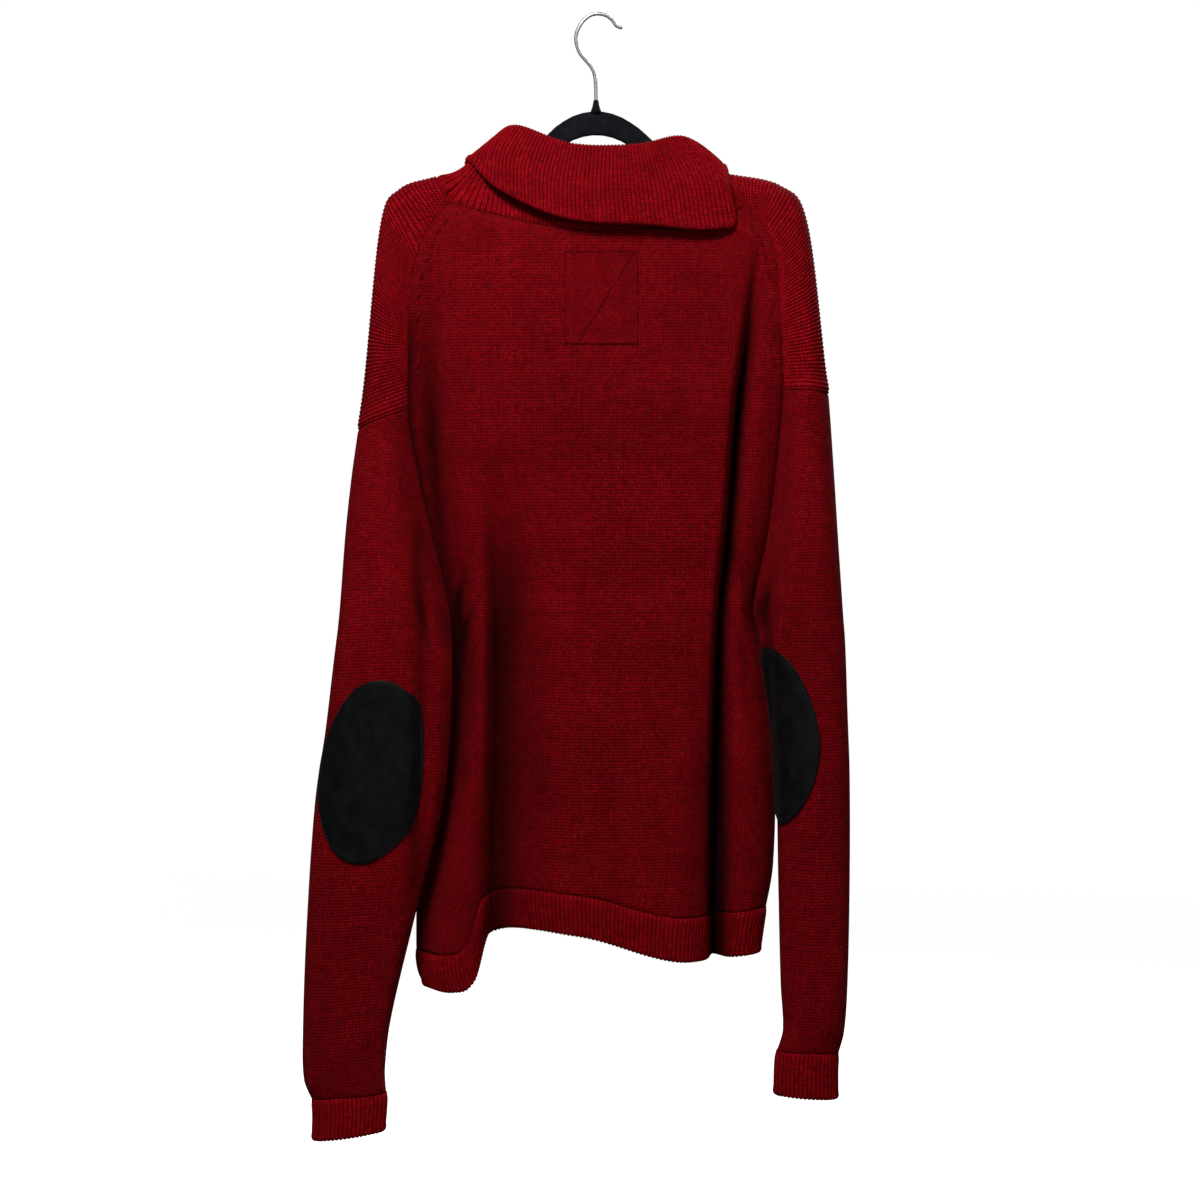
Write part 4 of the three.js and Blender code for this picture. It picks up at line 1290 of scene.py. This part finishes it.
class SWEATER_OT_patches(bpy.types.Operator):
    """Build the two suede elbow patches and the stitches round them"""
    bl_idname = "sweater.patches"
    bl_label = "Elbow Patches"

    def execute(self, context):
        sizes = context.scene.sweater_patches
        cloth_half = context.scene.sweater_knit.cloth / 2
        suede = grained_material("black_suede", sizes.suede, SUEDE_WORN, 2200.0, 0.0003,
                                 0.03, 0.58, gloss=0.12)
        thread = grained_material("patch_thread", sizes.thread, THREAD_WORN, 4000.0, 0.0001,
                                  0.1, 0.7)
        for side in ("left", "right"):
            spread = np.linspace(-1, 1, PATCH_LINES)
            b, a = np.meshgrid(spread, spread, indexing="ij")
            round_out = np.sqrt(np.clip(1 - (a ** 2 + b ** 2 - a ** 2 * b ** 2), 0, 1))
            body = smoothstep(round_out, 0.0, 0.2)
            base, _ = patch_grid(side, a.ravel(), b.ravel(), np.zeros(a.size))
            x = base[:, 0] / MM
            z = base[:, 2] / MM
            crumple = 0.9 * ripple(x * 2.6, z * 1.7, 3.0) + 0.5 * ripple(x * 6, z * 3, 9.0)
            lift = cloth_half + sizes.leather / 2 + (0.6 + crumple * body.ravel()) * MM
            points, _ = patch_grid(side, a.ravel(), b.ravel(), lift)
            cloth = Cloth(points.reshape(*a.shape, 3), OUTWARD[side])
            thick = sizes.leather / 2 * mix(0.45, 1.0, smoothstep(round_out, 0.0, 0.12))
            stitch_line = bell(round_out - 0.3, 0.045)
            thick = thick * (1 - 0.35 * stitch_line)
            mesh = shell(f"{side}_elbow_suede", cloth, thick, measured_uv(cloth))
            piece = place(f"{side}_elbow_suede", mesh, suede, "suede", f"elbow_patch_{side}")
            declare_cloth(cloth)
            self.sew(side, thread, cloth_half, sizes)
        return {"FINISHED"}

    def sew(self, side, thread, cloth_half, sizes):
        """Running stitches just inside a patch's edge."""
        mid_u, mid_v, half_u, half_v, bend = PATCHES[side]
        share = 0.955

        def ring(turn, offset):
            angle = 2 * math.pi * turn
            u = mid_u - bend * np.sin(angle) ** 2 + half_u * share * np.cos(angle) * 0.985
            v = mid_v + half_v * share * np.sin(angle)
            return on_sleeve(side, u, v, np.full(len(turn), offset))[0]

        lift = cloth_half + sizes.leather + 0.0006
        _, run = even_steps(lambda t: ring(t, lift), 1)
        count = round(run / sizes.stitch)
        turns, _ = even_steps(lambda t: ring(t, lift), count)
        step = PATCH_STITCH_SHARE * np.diff(turns)
        starts = ring(turns[:-1], lift)
        ends = ring(turns[:-1] + step, lift)
        mesh = yarn_dashes(f"{side}_patch_stitches", starts, ends, PATCH_RADIUS * MM)
        place(f"{side}_patch_stitches", mesh, thread, "suede")


def body_place(face, x, z):
    """The u and v of the body's point that lies at x and z, in metres, seen from behind."""
    u = np.full_like(x, 0.5)
    v = np.full_like(x, 0.3)
    step = 1e-3
    for _ in range(14):
        here = body_at(face, u, v)
        by_u = (body_at(face, u + step, v) - here) / step
        by_v = (body_at(face, u, v + step) - here) / step
        miss_x = x - here[:, 0]
        miss_z = z - here[:, 2]
        area = by_u[:, 0] * by_v[:, 2] - by_u[:, 2] * by_v[:, 0]
        u = np.clip(u + (miss_x * by_v[:, 2] - miss_z * by_v[:, 0]) / area, 0.02, 0.98)
        v = np.clip(v + (by_u[:, 0] * miss_z - by_u[:, 2] * miss_x) / area, 0.02, 1.9)
    return u, v


def on_back(x, z, offset):
    """Points over the back panel at x and z, moved out by offset, all in metres."""
    u, v = body_place("back", x, z)
    step = 2e-3
    base = body_at("back", u, v)
    across = body_at("back", u + step, v) - base
    below = body_at("back", u, v + step) - base
    normal = -np.cross(across, below)
    normal /= np.linalg.norm(normal, axis=1, keepdims=True)
    return base + normal * np.reshape(offset, (-1, 1))


class SWEATER_OT_darn(bpy.types.Operator):
    """Build the woven darn on the back, with its outline and slanting row of stitches"""
    bl_idname = "sweater.darn"
    bl_label = "Darn"

    def execute(self, context):
        knit = context.scene.sweater_knit
        left, right = DARN_SIDES
        low, high = DARN_HEIGHTS
        threads_across = round((right - left) / DARN_PITCH)
        threads_down = round((high - low) / DARN_PITCH)
        columns = np.arange(threads_across * DARN_SAMPLES + 1) / DARN_SAMPLES
        rows = np.arange(threads_down * DARN_SAMPLES + 1) / DARN_SAMPLES
        down, across = np.meshgrid(rows, columns, indexing="ij")
        x = mix(left, right, across / threads_across)
        z = mix(high, low, down / threads_down)
        relief = self.weave(across, down)
        slant = self.from_slant(x, z)
        relief = relief * (1 - 0.9 * bell(slant, 0.9))
        edge = np.minimum.reduce([x - left, right - x, z - low, high - z])
        offset = knit.cloth / 2 + (mix(-0.75, 0.1, smoothstep(edge, 0, 1.6)) + relief) * MM
        points = on_back(x.ravel() * MM, z.ravel() * MM, offset.ravel())
        cloth = Cloth(points.reshape(*x.shape, 3), -1)
        uv = np.stack([across, -down], axis=2) * DARN_PITCH * MM
        # Painted shade along the darn's sunken outline and its slanting line, stronger in some
        # places than others.
        uneven_strength = 0.72 + 0.6 * ripple(x * 2.4, z * 3.1, 6.0)
        level_edge = np.minimum(z - low, high - z)
        line = np.maximum(bell(level_edge, 1.3), bell(slant, 1.3))
        line = np.maximum(line, 0.45 * bell(edge, 1.2))
        dark = np.clip(0.7 * uneven_strength * line, 0, 1)
        mesh = shell("darn_weave", cloth, 0.0003, uv, painted_shade=dark)
        wool = wool_material("wool_darn", DARN_PITCH * MM, DARN_PITCH * MM, 0.0008, 0.7)
        piece = place("darn_weave", mesh, wool, "wool")
        declare_cloth(cloth)
        self.sew(knit)
        return {"FINISHED"}

    def weave(self, across, down):
        """Heights of a plain weave, in millimetres, at whole threads across and down."""
        turn = np.cos(math.pi * (np.floor(across) + np.floor(down)))
        upright = np.abs(np.sin(math.pi * across)) ** 0.7
        level = np.abs(np.sin(math.pi * down)) ** 0.7
        over = 0.5 + 0.5 * turn * np.abs(np.sin(math.pi * down))
        under = 0.5 - 0.5 * turn * np.abs(np.sin(math.pi * across))
        return 0.55 * np.maximum(upright * mix(0.35, 1.0, over), level * mix(0.35, 1.0, under))

    def from_slant(self, x, z):
        """Distance from the slanting line, in millimetres."""
        (ax, az), (bx, bz) = DARN_SLANT
        run = math.hypot(bx - ax, bz - az)
        share = ((x - ax) * (bx - ax) + (z - az) * (bz - az)) / run ** 2
        away = np.abs((x - ax) * (bz - az) - (z - az) * (bx - ax)) / run
        return away + 40 * np.maximum(np.abs(share - 0.5) - 0.5, 0)

    def sew(self, knit):
        """Small stitches along the outline and the slanting line."""
        left, right = DARN_SIDES
        low, high = DARN_HEIGHTS
        lines = (
            ((left, high), (right, high)), ((right, high), (right, low)),
            ((right, low), (left, low)), ((left, low), (left, high)), DARN_SLANT,
        )
        starts, ends = [], []
        for (ax, az), (bx, bz) in lines:
            run = math.hypot(bx - ax, bz - az)
            count = round(run / DARN_STEP)
            share = np.arange(count) / count
            for points, at in ((starts, share), (ends, share + DARN_STITCH / run)):
                offset = np.full(len(at), knit.cloth / 2 + 0.0002)
                points.extend(on_back(mix(ax, bx, at) * MM, mix(az, bz, at) * MM, offset))
        mesh = yarn_dashes("darn_stitches", starts, ends, DARN_RADIUS * MM)
        place("darn_stitches", mesh, yarn("darning_yarn", 0.6), "wool")


class SWEATER_OT_marks(bpy.types.Operator):
    """Build the raised shaping marks that run inside the saddle seams"""
    bl_idname = "sweater.marks"
    bl_label = "Shaping Marks"

    def execute(self, context):
        knit = context.scene.sweater_knit
        starts, ends = [], []
        for side, sign in (("left", 1), ("right", -1)):
            seam_v = np.linspace(*MARKS_V, MARKS_COUNT)
            seam = sleeve_at(side, np.zeros_like(seam_v), seam_v)
            x = seam[:, 0] + sign * MARKS_INSET * MM
            first, last = (seam[:, 2] + height * MM for height in MARK_HEIGHTS)
            offset = np.full(len(x), knit.cloth / 2 - 0.0003)
            starts.extend(on_back(x, first, offset))
            ends.extend(on_back(x - sign * MARK_SLANT * MM, last, offset))
        mesh = yarn_dashes("shaping_marks", starts, ends, MARK_RADIUS * MM)
        place("shaping_marks", mesh, yarn("raised_yarn", 0.47), "wool")
        return {"FINISHED"}


# ---------------------------------------------------------------------------
# Hanger
# ---------------------------------------------------------------------------

class SWEATER_OT_hanger(bpy.types.Operator):
    """Build the flocked hanger and its bright wire hook"""
    bl_idname = "sweater.hanger"
    bl_label = "Hanger and Hook"

    def execute(self, context):
        settings = context.scene.sweater_hanger
        flock = grained_material("black_flock", settings.flock, FLOCK_WORN, 3000.0, 0.0003,
                                 0.12, 0.8)
        bm = bmesh.new()
        bm.from_mesh(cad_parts["hanger"].data)
        bmesh.ops.remove_doubles(bm, verts=bm.verts, dist=1e-6)
        bmesh.ops.dissolve_limit(bm, angle_limit=0.02, verts=bm.verts, edges=bm.edges)
        sharp = [e for e in bm.edges if e.is_manifold and e.calc_face_angle() > 0.6]
        bmesh.ops.bevel(bm, geom=sharp, offset=settings.edge, segments=4, profile=0.5,
                        affect="EDGES", material=-1)
        place("hanger_bar", finished_mesh("hanger_bar", bm), flock, "flock", "hanger")
        self.ferrule(flock)
        self.hook()
        return {"FINISHED"}

    def ferrule(self, flock):
        """The short cone that the hook is set in."""
        profile = [(x * MM, z * MM) for x, z in FERRULE]
        place("hook_ferrule", spun_mesh("hook_ferrule", profile, 20, True), flock, "flock")

    def hook(self):
        """The wire, swept along its route, with a rounded tip."""
        route = np.array([(x, 0.0, z) for x, z in HOOK_ROUTE]) * MM
        steps, _ = even_steps(lambda t: smooth_line(route, t), 90)
        curve = bpy.data.curves.new("wire_hook", "CURVE")
        curve.dimensions = "3D"
        spline = curve.splines.new("POLY")
        points = smooth_line(route, steps)
        spline.points.add(len(points) - 1)
        for point, where in zip(spline.points, points):
            point.co = (*where, 1.0)
        curve.bevel_depth = WIRE_RADIUS * MM
        curve.bevel_resolution = 5
        curve.use_fill_caps = True
        holder = bpy.data.objects.new("wire_hook_route", curve)
        bpy.context.scene.collection.objects.link(holder)
        evaluated = holder.evaluated_get(bpy.context.evaluated_depsgraph_get())
        mesh = bpy.data.meshes.new_from_object(evaluated)
        bpy.data.objects.remove(holder)
        bm = bmesh.new()
        bm.from_mesh(mesh)
        bmesh.ops.create_uvsphere(bm, u_segments=16, v_segments=10, radius=WIRE_RADIUS * MM * 1.02,
                                  matrix=Matrix.Translation(Vector(points[-1])))
        bpy.data.meshes.remove(mesh)
        mesh = finished_mesh("wire_hook", bm)
        place("wire_hook", mesh, chrome_material(), "chrome", "hanger_hook")


# ---------------------------------------------------------------------------
# Stage
# ---------------------------------------------------------------------------

class SWEATER_OT_stage(bpy.types.Operator):
    """Build the floor, the backdrop, the lights and the camera"""
    bl_idname = "sweater.stage"
    bl_label = "Stage"

    def execute(self, context):
        stage = context.scene.sweater_stage
        self.backdrop(stage)
        self.lights(context)
        self.camera(context, stage)
        context.scene.view_settings.view_transform = "Standard"
        return {"FINISHED"}

    def backdrop(self, stage):
        """A pale floor that curves up into a round wall far behind the sweater."""
        floor_z = CAD_LOW.z - FLOOR_DROP
        bend = FLOOR_WALL - FLOOR_FLAT
        profile = [(0.0, floor_z), (FLOOR_FLAT, floor_z)]
        for step in range(1, BEND_STEPS + 1):
            angle = math.pi / 2 * step / BEND_STEPS
            profile.append((FLOOR_FLAT + bend * math.sin(angle),
                            floor_z + bend * (1 - math.cos(angle))))
        profile.append((FLOOR_WALL, floor_z + WALL_HEIGHT))
        mesh = spun_mesh("stage_floor", profile, 64, False)
        material, _, shader = new_material("stage_paper")
        shader.inputs["Base Color"].default_value = stage.floor
        shader.inputs["Roughness"].default_value = 0.9
        shader.inputs["Specular IOR Level"].default_value = 0.1
        shader.inputs["Emission Color"].default_value = stage.floor
        shader.inputs["Emission Strength"].default_value = 0.98
        mesh.materials.append(material)
        floor = bpy.data.objects.new("stage_floor", mesh)
        # The paper is bright to the eye but lights nothing: lamps and sky shape the cloth.
        floor.visible_diffuse = False
        floor.visible_shadow = False
        floor.visible_glossy = False
        bpy.context.scene.collection.objects.link(floor)

    def lights(self, context):
        """A high soft key, a broad low fill, a lamp on the front and an even pale sky."""
        world = bpy.data.worlds.new("stage_sky")
        world.use_nodes = True
        background = world.node_tree.nodes["Background"]
        background.inputs["Color"].default_value = (1.0, 1.0, 1.0, 1.0)
        background.inputs["Strength"].default_value = SKY_STRENGTH
        context.scene.world = world
        for name, spot, aim, size, power in LAMPS:
            light = bpy.data.lights.new(name, "AREA")
            light.size = size
            light.energy = power
            holder = bpy.data.objects.new(name, light)
            holder.location = spot
            facing = Vector(aim) - Vector(spot)
            holder.rotation_euler = facing.to_track_quat("-Z", "Y").to_euler()
            context.scene.collection.objects.link(holder)

    def camera(self, context, stage):
        """A camera level with the sweater's middle, looking straight at its back."""
        camera = bpy.data.cameras.new("camera")
        camera.lens = camera.sensor_width * stage.distance / stage.width
        holder = bpy.data.objects.new("camera", camera)
        holder.location = (CAMERA_ACROSS, -stage.distance, -stage.centre)
        holder.rotation_euler = (math.pi / 2, 0.0, 0.0)
        context.scene.collection.objects.link(holder)
        context.scene.camera = holder


# ---------------------------------------------------------------------------
# Panel and registration
# ---------------------------------------------------------------------------

OPERATORS = (
    SWEATER_OT_hanger, SWEATER_OT_body, SWEATER_OT_saddles, SWEATER_OT_sleeves,
    SWEATER_OT_hem, SWEATER_OT_cuffs, SWEATER_OT_collar, SWEATER_OT_patches,
    SWEATER_OT_darn, SWEATER_OT_marks, SWEATER_OT_stage,
)
GROUPS = {
    "sweater_knit": SweaterKnit,
    "sweater_patches": SweaterPatches,
    "sweater_hanger": SweaterHanger,
    "sweater_stage": SweaterStage,
}


class SWEATER_PT_build(bpy.types.Panel):
    """Lists the sweater's pieces and their settings"""
    bl_idname = "SWEATER_PT_build"
    bl_label = "Wool Sweater"
    bl_space_type = "VIEW_3D"
    bl_region_type = "UI"
    bl_category = "Sweater"

    def draw(self, context):
        for name in GROUPS:
            settings = getattr(context.scene, name)
            box = self.layout.box()
            for prop in settings.bl_rna.properties:
                if prop.identifier not in {"rna_type", "name"}:
                    box.prop(settings, prop.identifier)
        for operator in OPERATORS:
            self.layout.operator(operator.bl_idname)


def register():
    for name, group in GROUPS.items():
        bpy.utils.register_class(group)
        setattr(bpy.types.Scene, name, PointerProperty(type=group))
    for operator in OPERATORS:
        bpy.utils.register_class(operator)
    bpy.utils.register_class(SWEATER_PT_build)


def unregister():
    bpy.utils.unregister_class(SWEATER_PT_build)
    for operator in reversed(OPERATORS):
        bpy.utils.unregister_class(operator)
    for name, group in GROUPS.items():
        delattr(bpy.types.Scene, name)
        bpy.utils.unregister_class(group)


def main():
    """Builds every piece and the stage."""
    register()
    for operator in OPERATORS:
        group, name = operator.bl_idname.split(".")
        getattr(getattr(bpy.ops, group), name)()


if __name__ == "__main__":
    main()
